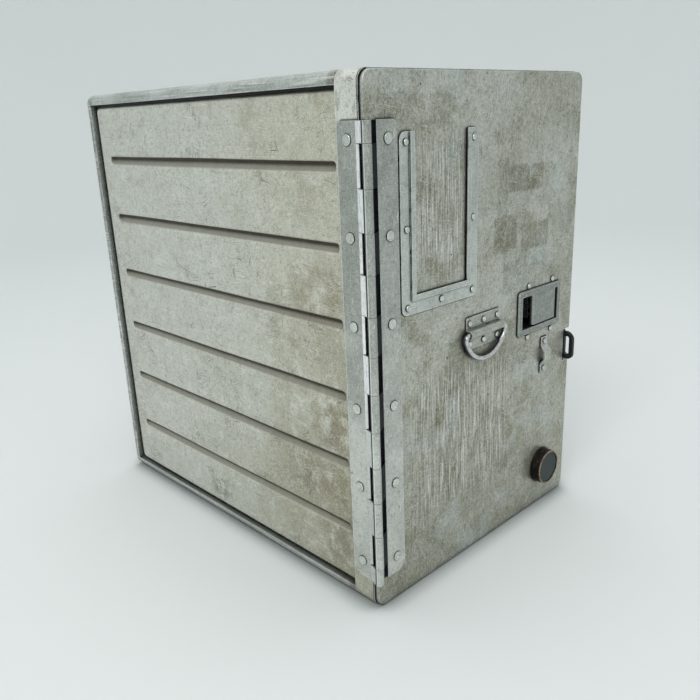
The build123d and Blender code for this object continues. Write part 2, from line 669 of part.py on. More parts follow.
def card_frame(height, margin, hollow, corner_r):
    """A U-shaped strip, open at the top, at a height above the door."""
    with BuildSketch(DOOR.offset(height)) as frame:
        span((CARD_X[0] + margin, CARD_X[1] - margin), (CARD_Z[0] + margin, CARD_Z[1]))
        fillet(frame.vertices(), radius=corner_r)
        span(
            (CARD_X[0] + hollow, CARD_X[1] - hollow),
            (CARD_Z[0] + hollow, CARD_Z[1]),
            mode=Mode.SUBTRACT,
        )
    return frame.sketch


with BuildPart() as card_holder:
    extrude(card_frame(0, 0, CARD_FLAT, CARD_CORNER_R), amount=CARD_T)
    extrude(card_frame(0, CARD_FLAT - CARD_T, CARD_FLAT, CARD_FOLD_R), amount=CARD_STANDOFF)
    lip_height = CARD_STANDOFF - CARD_T
    extrude(card_frame(lip_height, CARD_FLAT - CARD_T, CARD_STRIP, CARD_FOLD_R), amount=CARD_T)
    holes(DOOR.offset(CARD_T), CARD_RIVETS, CARD_T)
save(card_holder, "card_holder")

with BuildPart() as card_holder_rivets:
    rivets(DOOR.offset(CARD_T), CARD_RIVETS, CARD_T + DOOR_SHEET)
save(card_holder_rivets, "card_holder_rivets")

# ------------------------------------------------------------ ring plate and pull ring

SADDLE = Plane(
    origin=(LEFT + RING_X - RING_PLATE[0] / 2, FRONT, RING_Z),
    x_dir=(0, 1, 0),
    z_dir=(1, 0, 0),
)

with BuildPart() as ring_plate:
    with BuildSketch(DOOR):
        with Locations((RING_X, RING_Z)):
            RectangleRounded(*RING_PLATE, RING_PLATE_R)
    extrude(amount=RING_PLATE_T)
    with BuildSketch(SADDLE):
        with Locations((-RING_OUT, 0)):
            Circle(SADDLE_R)
        span((-RING_OUT, 0), (-SADDLE_R, SADDLE_R))
        span((0, 2 * SADDLE_R), (-SADDLE_R, SADDLE_R), mode=Mode.SUBTRACT)
    extrude(amount=RING_PLATE[0])
    with BuildSketch(SADDLE):
        with Locations((-RING_OUT, 0)):
            Circle(SADDLE_BORE_R)
        span((-RING_OUT, 0), (-SADDLE_BORE_R, SADDLE_BORE_R))
    extrude(amount=RING_PLATE[0], mode=Mode.SUBTRACT)
    holes(DOOR.offset(RING_PLATE_T), ring_points, RING_PLATE_T)
save(ring_plate, "ring_plate")

with BuildPart() as ring_plate_rivets:
    rivets(DOOR.offset(RING_PLATE_T), ring_points, RING_PLATE_T + DOOR_SHEET)
save(ring_plate_rivets, "ring_plate_rivets")

# The ring is a D: a straight bar, two tight corner arcs and one large arc, all tangent.
CORNER_WIRE_R = RING_HALF_WIDTH - RING_BAR
BOW_FALL = RING_DROP - CORNER_WIRE_R
BOW_R = (RING_BAR**2 + BOW_FALL**2 - CORNER_WIRE_R**2) / (2 * (BOW_FALL - CORNER_WIRE_R))
BOW_CENTRE_Z = BOW_R - RING_DROP
BOW_START_DEG = degrees(atan2(CORNER_WIRE_R + BOW_CENTRE_Z, RING_BAR))
RING_MID = Plane(
    origin=(LEFT + RING_X, FRONT - RING_OUT, RING_Z),
    x_dir=(0, 1, 0),
    z_dir=(1, 0, 0),
)
corner_axis = Axis(
    (LEFT + RING_X + RING_BAR, FRONT - RING_OUT, RING_Z - CORNER_WIRE_R),
    (0, 1, 0),
)
bow_axis = Axis((LEFT + RING_X, FRONT - RING_OUT, RING_Z + BOW_CENTRE_Z), (0, -1, 0))

with BuildPart() as pull_ring:
    with BuildSketch(RING_MID):
        Circle(WIRE_R)
    extrude(amount=RING_BAR)
    with BuildSketch(RING_MID.offset(RING_BAR)):
        Circle(WIRE_R)
    revolve(axis=corner_axis, revolution_arc=90 + BOW_START_DEG)
    with BuildSketch(RING_MID):
        with Locations((0, -RING_DROP)):
            Circle(WIRE_R)
    revolve(axis=bow_axis, revolution_arc=90 - BOW_START_DEG)
    mirror(pull_ring.part, about=Plane.YZ.offset(LEFT + RING_X))
save(pull_ring, "pull_ring")

# ------------------------------------------------------------ latch

BEZEL_FACE = DOOR.offset(BEZEL_T)
CUP_RIGHT = CUP_CENTRE_X + CUP[0] / 2
CUP_BOTTOM = LATCH_Z - CUP_OUTER[1] / 2
PIVOT = (PIVOT_X, PIVOT_DEPTH)

with BuildPart() as latch_cup:
    with BuildSketch(DOOR):
        with Locations((LATCH_X, LATCH_Z)):
            RectangleRounded(*BEZEL, BEZEL_R)
    extrude(amount=BEZEL_T)
    chamfer(faces().sort_by(Axis.Y)[0].edges(), length=BEZEL_BEVEL)
    with BuildSketch(DOOR):
        with Locations(CUP_CENTRE):
            RectangleRounded(*CUP_OUTER, CUP_R + CUP_WALL)
    extrude(amount=-(CUP_DEPTH + CUP_WALL))
    with BuildSketch(BEZEL_FACE):
        with Locations(CUP_CENTRE):
            RectangleRounded(*CUP, CUP_R)
    extrude(amount=-(BEZEL_T + CUP_DEPTH), mode=Mode.SUBTRACT)
    with BuildSketch(PROFILE.offset(CUP_RIGHT)):
        span(BOLT_SLOT_DEPTHS, BOLT_SLOT_Z)
    extrude(amount=CUP_WALL, mode=Mode.SUBTRACT)
    with BuildSketch(PLAN.offset(CUP_BOTTOM)):
        with Locations(PIVOT):
            Circle(PIN_BORE_R)
    extrude(amount=CUP_OUTER[1], mode=Mode.SUBTRACT)
save(latch_cup, "latch_cup")

with BuildPart() as latch_backing_frame:
    with BuildSketch(DOOR.offset(-DOOR_SHEET)):
        span(BACKING_X, BACKING_Z)
        with Locations(CUP_CENTRE):
            RectangleRounded(*CUP_HOLE, CUP_R + CUP_WALL, mode=Mode.SUBTRACT)
    extrude(amount=-DOOR_SHEET)
    holes(DOOR, LATCH_RIVETS, 2 * DOOR_SHEET)
save(latch_backing_frame, "latch_backing_frame")

with BuildPart() as latch_rivets:
    rivets(DOOR, LATCH_RIVETS, 2 * DOOR_SHEET)
save(latch_rivets, "latch_rivets")

with BuildPart() as latch_pivot_pin:
    with BuildSketch(PLAN.offset(CUP_BOTTOM)):
        with Locations(PIVOT):
            Circle(PIN_R)
    extrude(amount=CUP_OUTER[1])
save(latch_pivot_pin, "latch_pivot_pin")

with BuildPart() as latch_paddle:
    with BuildSketch(PLAN.offset(LATCH_Z - PADDLE_HEIGHT / 2)):
        span((PADDLE_LEFT + PADDLE_ROLL_R, PIVOT_X), (-PADDLE_OUT, PADDLE_T - PADDLE_OUT))
        with Locations((PADDLE_LEFT + PADDLE_ROLL_R, PADDLE_ROLL_R - PADDLE_OUT)):
            Circle(PADDLE_ROLL_R)
        with Locations(PIVOT):
            Circle(PIVOT_R)
    extrude(amount=PADDLE_HEIGHT)
    with BuildSketch(PLAN.offset(LATCH_Z - ARM_HEIGHT / 2)):
        span((PIVOT_X - ARM_R, PIVOT_X + ARM_R), (PIVOT_DEPTH, PIVOT_DEPTH + ARM_REACH))
        with Locations((PIVOT_X, PIVOT_DEPTH + ARM_REACH)):
            Circle(ARM_R)
    extrude(amount=ARM_HEIGHT)
    with BuildSketch(PLAN.offset(LATCH_Z - PADDLE_HEIGHT / 2)):
        with Locations(PIVOT):
            Circle(PIN_BORE_R)
    extrude(amount=PADDLE_HEIGHT, mode=Mode.SUBTRACT)
save(latch_paddle, "latch_paddle")

with BuildPart() as latch_bolt:
    with BuildSketch(DOOR.offset(-BOLT_DEPTHS[0])):
        span(BOLT_X, (LATCH_Z - BOLT_HEIGHT / 2, LATCH_Z + BOLT_HEIGHT / 2))
        with Locations((PIVOT_X, LATCH_Z)):
            window = (2 * (ARM_R + WINDOW_PLAY), ARM_HEIGHT + 2 * WINDOW_PLAY)
            Rectangle(*window, mode=Mode.SUBTRACT)
    extrude(amount=-(BOLT_DEPTHS[1] - BOLT_DEPTHS[0]))
    chamfer(edges().group_by(Axis.X)[-1].sort_by(Axis.Y)[-1], length=BOLT_BEVEL)
save(latch_bolt, "latch_bolt")

FLOOR = DOOR.offset(-CUP_DEPTH)
RAIL = (GUIDE_HALF - GUIDE_FOOT, GUIDE_HALF)
STRAP_FRONT = CUP_DEPTH - BOLT_DEPTHS[0] + BOLT_PLAY

with BuildPart() as latch_bolt_guide:
    for low, high in (RAIL, (-RAIL[1], -RAIL[0])):
        with BuildSketch(FLOOR):
            span(GUIDE_X, (LATCH_Z + low, LATCH_Z + high))
        extrude(amount=GUIDE_T)
        with BuildSketch(FLOOR):
            span((GUIDE_X[1] - STRAP_WIDTH, GUIDE_X[1]), (LATCH_Z + low, LATCH_Z + high))
        extrude(amount=STRAP_FRONT)
    with BuildSketch(FLOOR.offset(STRAP_FRONT)):
        span((GUIDE_X[1] - STRAP_WIDTH, GUIDE_X[1]), (LATCH_Z - GUIDE_HALF, LATCH_Z + GUIDE_HALF))
    extrude(amount=GUIDE_T)
    with BuildSketch(FLOOR):
        span((GUIDE_X[0], GUIDE_X[0] + GUIDE_T), (LATCH_Z - GUIDE_HALF, LATCH_Z + GUIDE_HALF))
    extrude(amount=STRAP_FRONT)
save(latch_bolt_guide, "latch_bolt_guide")

SPRING_ROOM = (GUIDE_X[0] + GUIDE_T + SPRING_WIRE_R, BOLT_X[0] - SPRING_WIRE_R)
SPRING_LENGTH = SPRING_ROOM[1] - SPRING_ROOM[0]
SPRING_START = (LEFT + SPRING_ROOM[0], FRONT + sum(BOLT_DEPTHS) / 2, LATCH_Z)

with BuildPart() as latch_spring:
    with BuildLine() as coil:
        Helix(
            pitch=SPRING_LENGTH / SPRING_TURNS,
            height=SPRING_LENGTH,
            radius=SPRING_R,
            center=SPRING_START,
            direction=(1, 0, 0),
        )
    with BuildSketch(Plane(coil.line @ 0, z_dir=coil.line % 0)):
        Circle(SPRING_WIRE_R)
    sweep(path=coil.wire(), is_frenet=True)
save(latch_spring, "latch_spring")

# ------------------------------------------------------------ seal bridge

BRIDGE_FEET = (BRIDGE_Z[0] + BRIDGE_FOOT, BRIDGE_Z[1] - BRIDGE_FOOT)
BRIDGE_CREST = (BRIDGE_FEET[0] + BRIDGE_SLOPE, BRIDGE_FEET[1] - BRIDGE_SLOPE)
BRIDGE_ANGLE = atan2(BRIDGE_RISE - BRIDGE_T, BRIDGE_SLOPE)
BRIDGE_SHIFT = BRIDGE_T * tan(BRIDGE_ANGLE / 2)

with BuildPart() as seal_bridge:
    with BuildSketch(PROFILE.offset(BRIDGE_X[0])):
        with BuildLine():
            Polyline(
                (0, BRIDGE_Z[0]),
                (-BRIDGE_T, BRIDGE_Z[0]),
                (-BRIDGE_T, BRIDGE_FEET[0]),
                (-BRIDGE_RISE, BRIDGE_CREST[0]),
                (-BRIDGE_RISE, BRIDGE_CREST[1]),
                (-BRIDGE_T, BRIDGE_FEET[1]),
                (-BRIDGE_T, BRIDGE_Z[1]),
                (0, BRIDGE_Z[1]),
                (0, BRIDGE_FEET[1] - BRIDGE_SHIFT),
                (BRIDGE_T - BRIDGE_RISE, BRIDGE_CREST[1] - BRIDGE_SHIFT),
                (BRIDGE_T - BRIDGE_RISE, BRIDGE_CREST[0] + BRIDGE_SHIFT),
                (0, BRIDGE_FEET[0] + BRIDGE_SHIFT),
                close=True,
            )
        make_face()
    extrude(amount=BRIDGE_X[1] - BRIDGE_X[0])
    holes(DOOR.offset(BRIDGE_T), bridge_points, BRIDGE_T)
save(seal_bridge, "seal_bridge")

with BuildPart() as seal_bridge_rivets:
    rivets(DOOR.offset(BRIDGE_T), bridge_points, BRIDGE_T + DOOR_SHEET)
save(seal_bridge_rivets, "seal_bridge_rivets")

# ------------------------------------------------------------ round buffer

BUFFER_CENTRE = (BUFFER_X, BUFFER_Z)
PAD_R = BUFFER_R - BUFFER_WALL

with BuildPart() as buffer_cup:
    with BuildSketch(DOOR):
        with Locations(BUFFER_CENTRE):
            Circle(BUFFER_R)
    extrude(amount=BUFFER_OUT)
    fillet(edges().group_by(Axis.Y)[0], radius=BUFFER_EDGE_R)
    with BuildSketch(DOOR.offset(BUFFER_OUT)):
        with Locations(BUFFER_CENTRE):
            Circle(PAD_R)
    extrude(amount=-(BUFFER_OUT - BUFFER_BASE_T), mode=Mode.SUBTRACT)
    holes(DOOR.offset(BUFFER_BASE_T), buffer_points, BUFFER_BASE_T)
save(buffer_cup, "buffer_cup")

with BuildPart() as buffer_pad:
    with BuildSketch(DOOR.offset(BUFFER_BASE_T)):
        with Locations(BUFFER_CENTRE):
            Circle(PAD_R - PAD_PLAY)
    extrude(amount=BUFFER_OUT - BUFFER_BASE_T - BUFFER_RECESS)
    chamfer(edges().group_by(Axis.Y)[0], length=PAD_BEVEL)
    with BuildSketch(DOOR.offset(BUFFER_BASE_T)):
        with Locations(BUFFER_CENTRE):
            Circle(BUFFER_HEAD_R + BUFFER_HEAD_PLAY)
    extrude(amount=BUFFER_HEAD_H + BUFFER_HEAD_PLAY, mode=Mode.SUBTRACT)
save(buffer_pad, "buffer_pad")

with BuildPart() as buffer_rivet:
    rivets(
        DOOR.offset(BUFFER_BASE_T),
        buffer_points,
        BUFFER_BASE_T + DOOR_SHEET,
        BUFFER_HEAD_R,
        BUFFER_HEAD_H,
        LOW_HEAD_EDGE,
    )
save(buffer_rivet, "buffer_rivet")
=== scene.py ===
"""Looks of the galley container: worn-metal finishes with painted shade and highlights, studio
light and camera.

The container stands on the floor with its door facing -Y and its hinge on the -X side. Lengths are
in metres, and MM turns millimetres into metres. Every finish is procedural and reads object
coordinates, which stay with each piece when its body moves. Depths are measured back from the
door's face (FRONT), and heights from the floor.
"""

import json
import math

import bmesh
import bpy
from mathutils import Matrix, Vector


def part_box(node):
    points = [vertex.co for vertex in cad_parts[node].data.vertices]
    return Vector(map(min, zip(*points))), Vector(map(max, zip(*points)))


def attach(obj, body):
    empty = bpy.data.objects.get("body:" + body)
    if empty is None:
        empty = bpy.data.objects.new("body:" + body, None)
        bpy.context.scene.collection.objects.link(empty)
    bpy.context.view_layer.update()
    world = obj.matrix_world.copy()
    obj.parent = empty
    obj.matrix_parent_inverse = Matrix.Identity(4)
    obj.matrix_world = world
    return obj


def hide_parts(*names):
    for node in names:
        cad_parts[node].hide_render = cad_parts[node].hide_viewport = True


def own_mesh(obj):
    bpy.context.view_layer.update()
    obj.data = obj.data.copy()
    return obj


MM = 0.001

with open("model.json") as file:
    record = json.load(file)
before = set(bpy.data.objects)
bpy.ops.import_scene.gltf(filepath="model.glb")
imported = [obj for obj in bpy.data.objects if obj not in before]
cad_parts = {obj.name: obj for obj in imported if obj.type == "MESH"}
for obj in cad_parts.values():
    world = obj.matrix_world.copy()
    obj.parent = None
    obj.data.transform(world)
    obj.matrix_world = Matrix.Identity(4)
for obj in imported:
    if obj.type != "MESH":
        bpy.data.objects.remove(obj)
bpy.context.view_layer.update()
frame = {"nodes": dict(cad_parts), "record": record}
nodes = frame["nodes"]

# ---------------------------------------------------------------- places on the object

shell_low, shell_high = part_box("top_panel")
door_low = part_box("door_skin")[0]
HEIGHT = shell_high.z
LEFT = shell_low.x
FRONT = door_low.y
PIN_Y = (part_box("hinge_pin")[0].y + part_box("hinge_pin")[1].y) / 2
HINGE_Z = (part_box("hinge_pin")[0].z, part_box("hinge_pin")[1].z)
GULLY_WIDTH = 10.8 * MM
LEAF_X = LEFT + GULLY_WIDTH


def tone(red, green, blue):
    """A colour given as 8-bit display values, as linear light."""
    def linear(value):
        share = value / 255
        return share / 12.92 if share <= 0.04045 else ((share + 0.055) / 1.055) ** 2.4
    return (linear(red), linear(green), linear(blue), 1.0)


# ---------------------------------------------------------------- shader building


class Finish:
    """A procedural material: each method adds nodes and returns the socket with its result."""

    BEVEL_SAMPLES = 6
    COVER_SAMPLES = 8
    THREAD = (0.68, 0.75)
    RIM = (0.995, 0.90)

    def __init__(self, name, **constants):
        self.material = bpy.data.materials.new(name)
        self.material.use_nodes = True
        self.tree = self.material.node_tree
        self.tree.nodes.clear()
        self.shader = self.tree.nodes.new("ShaderNodeBsdfPrincipled")
        output = self.tree.nodes.new("ShaderNodeOutputMaterial")
        self.join(self.shader.outputs["BSDF"], output.inputs["Surface"])
        for socket, value in constants.items():
            self.shader.inputs[socket].default_value = value
        self.where = self.tree.nodes.new("ShaderNodeTexCoord").outputs["Object"]
        split = self.tree.nodes.new("ShaderNodeSeparateXYZ")
        self.join(self.where, split.inputs["Vector"])
        self.axes = {"x": split.outputs["X"], "y": split.outputs["Y"], "z": split.outputs["Z"]}

    def join(self, source, socket):
        """Link an output, or set a constant, on an input."""
        if isinstance(source, bpy.types.NodeSocket):
            self.tree.links.new(source, socket)
        else:
            socket.default_value = source

    def maths(self, operation, first, second=0.0, clamp=False):
        step = self.tree.nodes.new("ShaderNodeMath")
        step.operation = operation
        step.use_clamp = clamp
        self.join(first, step.inputs[0])
        self.join(second, step.inputs[1])
        return step.outputs[0]

    def times(self, first, *others):
        for other in others:
            first = self.maths("MULTIPLY", first, other)
        return first

    def plus(self, first, *others):
        for other in others:
            first = self.maths("ADD", first, other)
        return first

    def either(self, first, *others):
        for other in others:
            first = self.maths("MAXIMUM", first, other)
        return first

    def without(self, mask):
        return self.maths("SUBTRACT", 1.0, mask, clamp=True)

    def between(self, value, low, high):
        """0 below low, 1 above high, a smooth step between; low above high turns it over."""
        step = self.tree.nodes.new("ShaderNodeMapRange")
        step.interpolation_type = "SMOOTHSTEP"
        self.join(value, step.inputs["Value"])
        step.inputs["From Min"].default_value = low
        step.inputs["From Max"].default_value = high
        return step.outputs["Result"]

    def noise(self, size, detail=2.0, roughness=0.5, turn=(0, 0, 0), seed=0, warp=0.0):
        """Noise with features of that size in millimetres: one number, or one for each axis."""
        place = self.tree.nodes.new("ShaderNodeMapping")
        place.vector_type = "TEXTURE"
        sizes = size if isinstance(size, tuple) else (size, size, size)
        place.inputs["Location"].default_value = (0.37 * seed, -0.53 * seed, 0.71 * seed)
        place.inputs["Rotation"].default_value = [math.radians(angle) for angle in turn]
        place.inputs["Scale"].default_value = [length * MM for length in sizes]
        self.join(self.where, place.inputs["Vector"])
        field = self.tree.nodes.new("ShaderNodeTexNoise")
        field.inputs["Scale"].default_value = 1.0
        field.inputs["Detail"].default_value = detail
        field.inputs["Roughness"].default_value = roughness
        field.inputs["Distortion"].default_value = warp
        self.join(place.outputs["Vector"], field.inputs["Vector"])
        return field.outputs["Fac"]

    def specks(self, spacing, radius, share, seed=0):
        """Small round spots in a share of cells of that spacing; lengths in millimetres."""
        place = self.tree.nodes.new("ShaderNodeMapping")
        place.vector_type = "TEXTURE"
        place.inputs["Location"].default_value = (0.29 * seed, 0.41 * seed, -0.23 * seed)
        place.inputs["Scale"].default_value = [spacing * MM] * 3
        self.join(self.where, place.inputs["Vector"])
        cells = self.tree.nodes.new("ShaderNodeTexVoronoi")
        cells.inputs["Scale"].default_value = 1.0
        self.join(place.outputs["Vector"], cells.inputs["Vector"])
        chosen = self.tree.nodes.new("ShaderNodeSeparateColor")
        self.join(cells.outputs["Color"], chosen.inputs["Color"])
        kept = self.maths("LESS_THAN", chosen.outputs["Red"], share)
        reach = radius / spacing
        round_spot = self.between(cells.outputs["Distance"], reach, reach * 0.4)
        return self.times(kept, round_spot)

    def hairs(self, turn, length, width, share, seed=0, warp=0.0):
        """Fine marks along the turned Z axis, kept in patches that cover about that share."""
        threads = self.noise((width, width, length), 0.0, 0.5, turn, seed, warp)
        line = self.between(threads, *self.THREAD)
        patches = self.noise(length * 0.8, 1.0, 0.5, turn, seed + 3)
        return self.times(line, self.between(patches, 0.62 - 0.3 * share, 0.68 - 0.3 * share))

    def off_middle(self):
        """Distance from the plane that halves the object's width, in metres."""
        return self.maths("ABSOLUTE", self.axes["x"])

    def near(self, axis, centre, half, soft):
        """1 within half of a centre along an axis, fading to 0 over soft; all in metres."""
        away = self.maths("ABSOLUTE", self.maths("SUBTRACT", self.axes[axis], centre))
        return self.between(away, half + soft / 2, half - soft / 2)

    def span(self, axis, low, high, soft):
        """1 between two places on an axis, fading out over soft; all in metres."""
        return self.near(axis, (low + high) / 2, (high - low) / 2, soft)

    def patch(self, first, second, soft):
        """A rectangle, two (axis, centre, half size) spans, fading out over soft; all in metres."""
        return self.times(self.near(*first, soft), self.near(*second, soft))

    def crevices(self, reach, open_share=0.96, closed_share=0.68):
        """1 in corners and gaps within reach millimetres, 0 on open faces."""
        cover = self.tree.nodes.new("ShaderNodeAmbientOcclusion")
        cover.samples = self.COVER_SAMPLES
        cover.inputs["Distance"].default_value = reach * MM
        return self.between(cover.outputs["AO"], open_share, closed_share)

    def facing(self, axis):
        """How far the surface faces along an axis, from -1 to 1."""
        normal = self.tree.nodes.new("ShaderNodeNewGeometry").outputs["Normal"]
        split = self.tree.nodes.new("ShaderNodeSeparateXYZ")
        self.join(normal, split.inputs["Vector"])
        return split.outputs[axis.upper()]

    def rounded(self, radius):
        """The surface normal with the edges rounded over that radius in millimetres."""
        bevel = self.tree.nodes.new("ShaderNodeBevel")
        bevel.samples = self.BEVEL_SAMPLES
        bevel.inputs["Radius"].default_value = radius * MM
        return bevel.outputs["Normal"]

    def rims(self, radius):
        """1 along edges within that radius in millimetres, 0 on faces."""
        flat = self.tree.nodes.new("ShaderNodeNewGeometry").outputs["Normal"]
        dot = self.tree.nodes.new("ShaderNodeVectorMath")
        dot.operation = "DOT_PRODUCT"
        self.join(self.rounded(radius), dot.inputs[0])
        self.join(flat, dot.inputs[1])
        return self.between(dot.outputs["Value"], *self.RIM)

    def blend(self, share, first, second):
        """Two colours mixed by a mask: the first where it is 0 and the second where it is 1."""
        mix = self.tree.nodes.new("ShaderNodeMix")
        mix.data_type = "RGBA"
        self.join(share, mix.inputs["Factor"])
        self.join(first, mix.inputs["A"])
        self.join(second, mix.inputs["B"])
        return mix.outputs["Result"]

    def over(self, colour, paint, *masks):
        """A paint laid over a colour, as strong as its masks multiplied together."""
        return self.blend(self.times(*masks), colour, paint)

    def grit(self, colour, dark, light, amount, seed, size=1.5):
        """Fine dark and light grain over a colour, with a coarser mottle below it."""
        fine = self.noise(size, 2.0, 0.6, seed=seed)
        coarse = self.noise(size * 3.2, 2.0, 0.6, seed=seed + 1)
        colour = self.blend(self.times(self.between(fine, 0.5, 0.7), amount), colour, dark)
        colour = self.blend(self.times(self.between(fine, 0.5, 0.3), amount * 0.8), colour, light)
        colour = self.blend(
            self.times(self.between(coarse, 0.54, 0.72), amount * 0.8), colour, dark
        )
        return self.blend(self.times(self.between(coarse, 0.44, 0.28), amount * 0.6), colour, light)

    def outline(self, colour, reach, strength=0.9):
        """A thin black line of painted shade in the crevices round whatever stands on the surface.
        """
        return self.blend(self.times(self.crevices(reach), strength), colour, BLACK_SHADE)

    def relief(self, height, depth, edge=0.35):
        """Bump of that depth in millimetres over slightly rounded edges."""
        bump = self.tree.nodes.new("ShaderNodeBump")
        bump.inputs["Strength"].default_value = 1.0
        bump.inputs["Distance"].default_value = depth * MM
        self.join(height, bump.inputs["Height"])
        self.join(self.rounded(edge), bump.inputs["Normal"])
        self.join(bump.outputs["Normal"], self.shader.inputs["Normal"])

    def finish(self, colour, roughness):
        self.join(colour, self.shader.inputs["Base Color"])
        self.join(roughness, self.shader.inputs["Roughness"])
        return self.material


def dress(material, slot):
    """Put a material on every CAD node of a record slot."""
    for part in frame["record"]["subparts"]:
        if part["material_slot"] == slot:
            piece = nodes[part["node"]]
            piece.data.materials.clear()
            piece.data.materials.append(material)


# ---------------------------------------------------------------- pressed side sheets and door seal

SIDE_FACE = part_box("right_side_panel")[1].x
BAND_STEP = 3.0 * MM
FIELD_Y = (FRONT + 12 * MM, FRONT + 391 * MM)
FIELD_Z = (12.5 * MM, HEIGHT - 12.5 * MM)
FIELD_CORNER = 6 * MM
SHEET = 1.2 * MM
BEAD_Y = (FRONT + 36 * MM, FRONT + 371 * MM)
BEAD_PITCH = 58.7 * MM
BEAD_MID_Z = 209.2 * MM
BEAD_COUNT = 6
BEAD_HALF = 4.8 * MM
BEAD_LOWER = 7.0 * MM
BEAD_DEPTH = 4.0 * MM
BEADS_HALF_Z = 165 * MM
BEAD_ZS = [BEAD_MID_Z + BEAD_PITCH * (step - (BEAD_COUNT - 1) / 2) for step in range(BEAD_COUNT)]
WAVE = 0.35 * MM
WAVE_Y = 31 * MM
WAVE_Z = 19 * MM
SWELL_Y = 83 * MM
SWELL_Z = 47 * MM
SWELL_SHARE = 0.6
WAVE_MARGIN = 30 * MM
MARK = 2 * MM
MARK_REACH_Y = 4 * MM
MARK_REACH_Z = 5 * MM
COARSE = 9 * MM
FINE = 0.6 * MM


def placed(name, mesh, crease=None):
    """A linked, smooth object made from a bmesh, its edges sharp past crease degrees."""
    data = bpy.data.meshes.new(name)
    mesh.to_mesh(data)
    mesh.free()
    data.shade_smooth()
    if crease is not None:
        data.set_sharp_from_angle(angle=math.radians(crease))
    piece = bpy.data.objects.new(name, data)
    bpy.context.scene.collection.objects.link(piece)
    return piece


def span_rings(mesh, pairs):
    """Faces between each pair of closed rings of vertices."""
    for first, second in pairs:
        for step in range(len(first)):
            following = (step + 1) % len(first)
            mesh.faces.new((first[step], first[following], second[following], second[step]))


def graded(low, high, marks, reach):
    """Values from low to high: fine steps within reach of each mark, coarse steps elsewhere."""
    values = [low]
    while values[-1] < high:
        last = values[-1]
        if any(abs(last + FINE / 2 - mark) < reach for mark in marks):
            following = last + FINE
        else:
            starts = [mark - reach for mark in marks if mark - reach > last + FINE / 2]
            following = min([last + COARSE] + starts)
        values.append(min(following, high))
    return values


def pressed(across, up):
    """How far a side sheet stands back from its outermost face."""
    away_y = abs(across - sum(FIELD_Y) / 2) - (FIELD_Y[1] - FIELD_Y[0]) / 2 + FIELD_CORNER
    away_z = abs(up - sum(FIELD_Z) / 2) - (FIELD_Z[1] - FIELD_Z[0]) / 2 + FIELD_CORNER
    outside = math.hypot(max(away_y, 0), max(away_z, 0))
    edge = FIELD_CORNER - outside - min(max(away_y, away_z), 0)
    if edge <= 0:
        return BAND_STEP
    fall = max(BAND_STEP - edge, 0)
    rim = BAND_STEP - math.sqrt(BAND_STEP**2 - fall**2)
    past_end = max(BEAD_Y[0] - across, across - BEAD_Y[1], 0)
    groove = 0.0
    for height in BEAD_ZS:
        reach = BEAD_HALF if up > height else BEAD_LOWER
        share = min(math.hypot(past_end / BEAD_HALF, (up - height) / reach), 1)
        groove = max(groove, BEAD_DEPTH * (1 + math.cos(math.pi * share)) / 2)
    inside = min(edge / WAVE_MARGIN, 1)
    sway = math.sin(across / WAVE_Y + 1.3) * math.sin(up / WAVE_Z + 0.4)
    sway += SWELL_SHARE * math.sin(across / SWELL_Y + up / SWELL_Z)
    return rim + groove + WAVE * inside * (1 + sway)


def side_skin(name, node, side):
    """A thin pressed sheet: a rolled-edge field with rounded grooves, in a flat border."""
    low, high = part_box(node)
    ends = [FIELD_Y[0] + MARK, FIELD_Y[1] - MARK, BEAD_Y[0] - MARK, BEAD_Y[1] + MARK]
    columns = graded(low.y, high.y, ends, MARK_REACH_Y)
    rows = graded(low.z, high.z, BEAD_ZS + [FIELD_Z[0] + MARK, FIELD_Z[1] - MARK], MARK_REACH_Z)
    mesh = bmesh.new()
    grid = [
        [mesh.verts.new((side * (SIDE_FACE - pressed(across, up)), across, up)) for up in rows]
        for across in columns
    ]
    for near_column, far_column in zip(grid, grid[1:]):
        for step in range(len(rows) - 1):
            corners = [near_column[step], far_column[step]]
            corners += [far_column[step + 1], near_column[step + 1]]
            mesh.faces.new(corners if side > 0 else corners[::-1])
    sheet = placed(name, mesh)
    solid = sheet.modifiers.new("sheet", "SOLIDIFY")
    solid.thickness = SHEET
    solid.offset = -1.0
    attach(sheet, "container")
    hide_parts(node)
    return sheet


SEAL_WIDTH = 7.0 * MM
SEAL_CORNER = 6.0 * MM
SEAL_STEPS = 10
BULB_STEPS = 12
BULB_SHARE = 0.86
FOOT_SHARE = 0.3
SEAL_CREASE = 40


def door_seal():
    """A hollow-looking D-shaped rubber bulb that runs round the back of the door."""
    low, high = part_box("door_gasket")
    base_y = low.y
    rise = high.y - low.y
    half = SEAL_WIDTH / 2
    centre = (low + high) / 2
    reach_x = (high.x - low.x) / 2 - half - SEAL_CORNER
    reach_z = (high.z - low.z) / 2 - half - SEAL_CORNER
    foot = rise * FOOT_SHARE
    profile = [(half, 0.0), (half, foot)]
    for step in range(1, BULB_STEPS):
        angle = math.pi * step / BULB_STEPS
        across = half * BULB_SHARE * math.cos(angle)
        profile.append((across, foot + (rise - foot) * math.sin(angle)))
    profile += [(-half, foot), (-half, 0.0)]
    mesh = bmesh.new()
    rings = []
    for quarter in range(4):
        for step in range(SEAL_STEPS + 1):
            angle = math.pi / 2 * (quarter + step / SEAL_STEPS)
            out_x, out_z = math.cos(angle), math.sin(angle)
            corner_x = centre.x + reach_x * (1 if quarter in (0, 3) else -1)
            corner_z = centre.z + reach_z * (1 if quarter in (0, 1) else -1)
            rings.append([
                mesh.verts.new((
                    corner_x + (SEAL_CORNER + across) * out_x,
                    base_y + up,
                    corner_z + (SEAL_CORNER + across) * out_z,
                ))
                for across, up in profile
            ])
    span_rings(mesh, zip(rings, rings[1:] + rings[:1]))
    bmesh.ops.recalc_face_normals(mesh, faces=mesh.faces)
    seal = placed("door_seal", mesh, SEAL_CREASE)
    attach(seal, "door")
    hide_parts("door_gasket")
    return seal


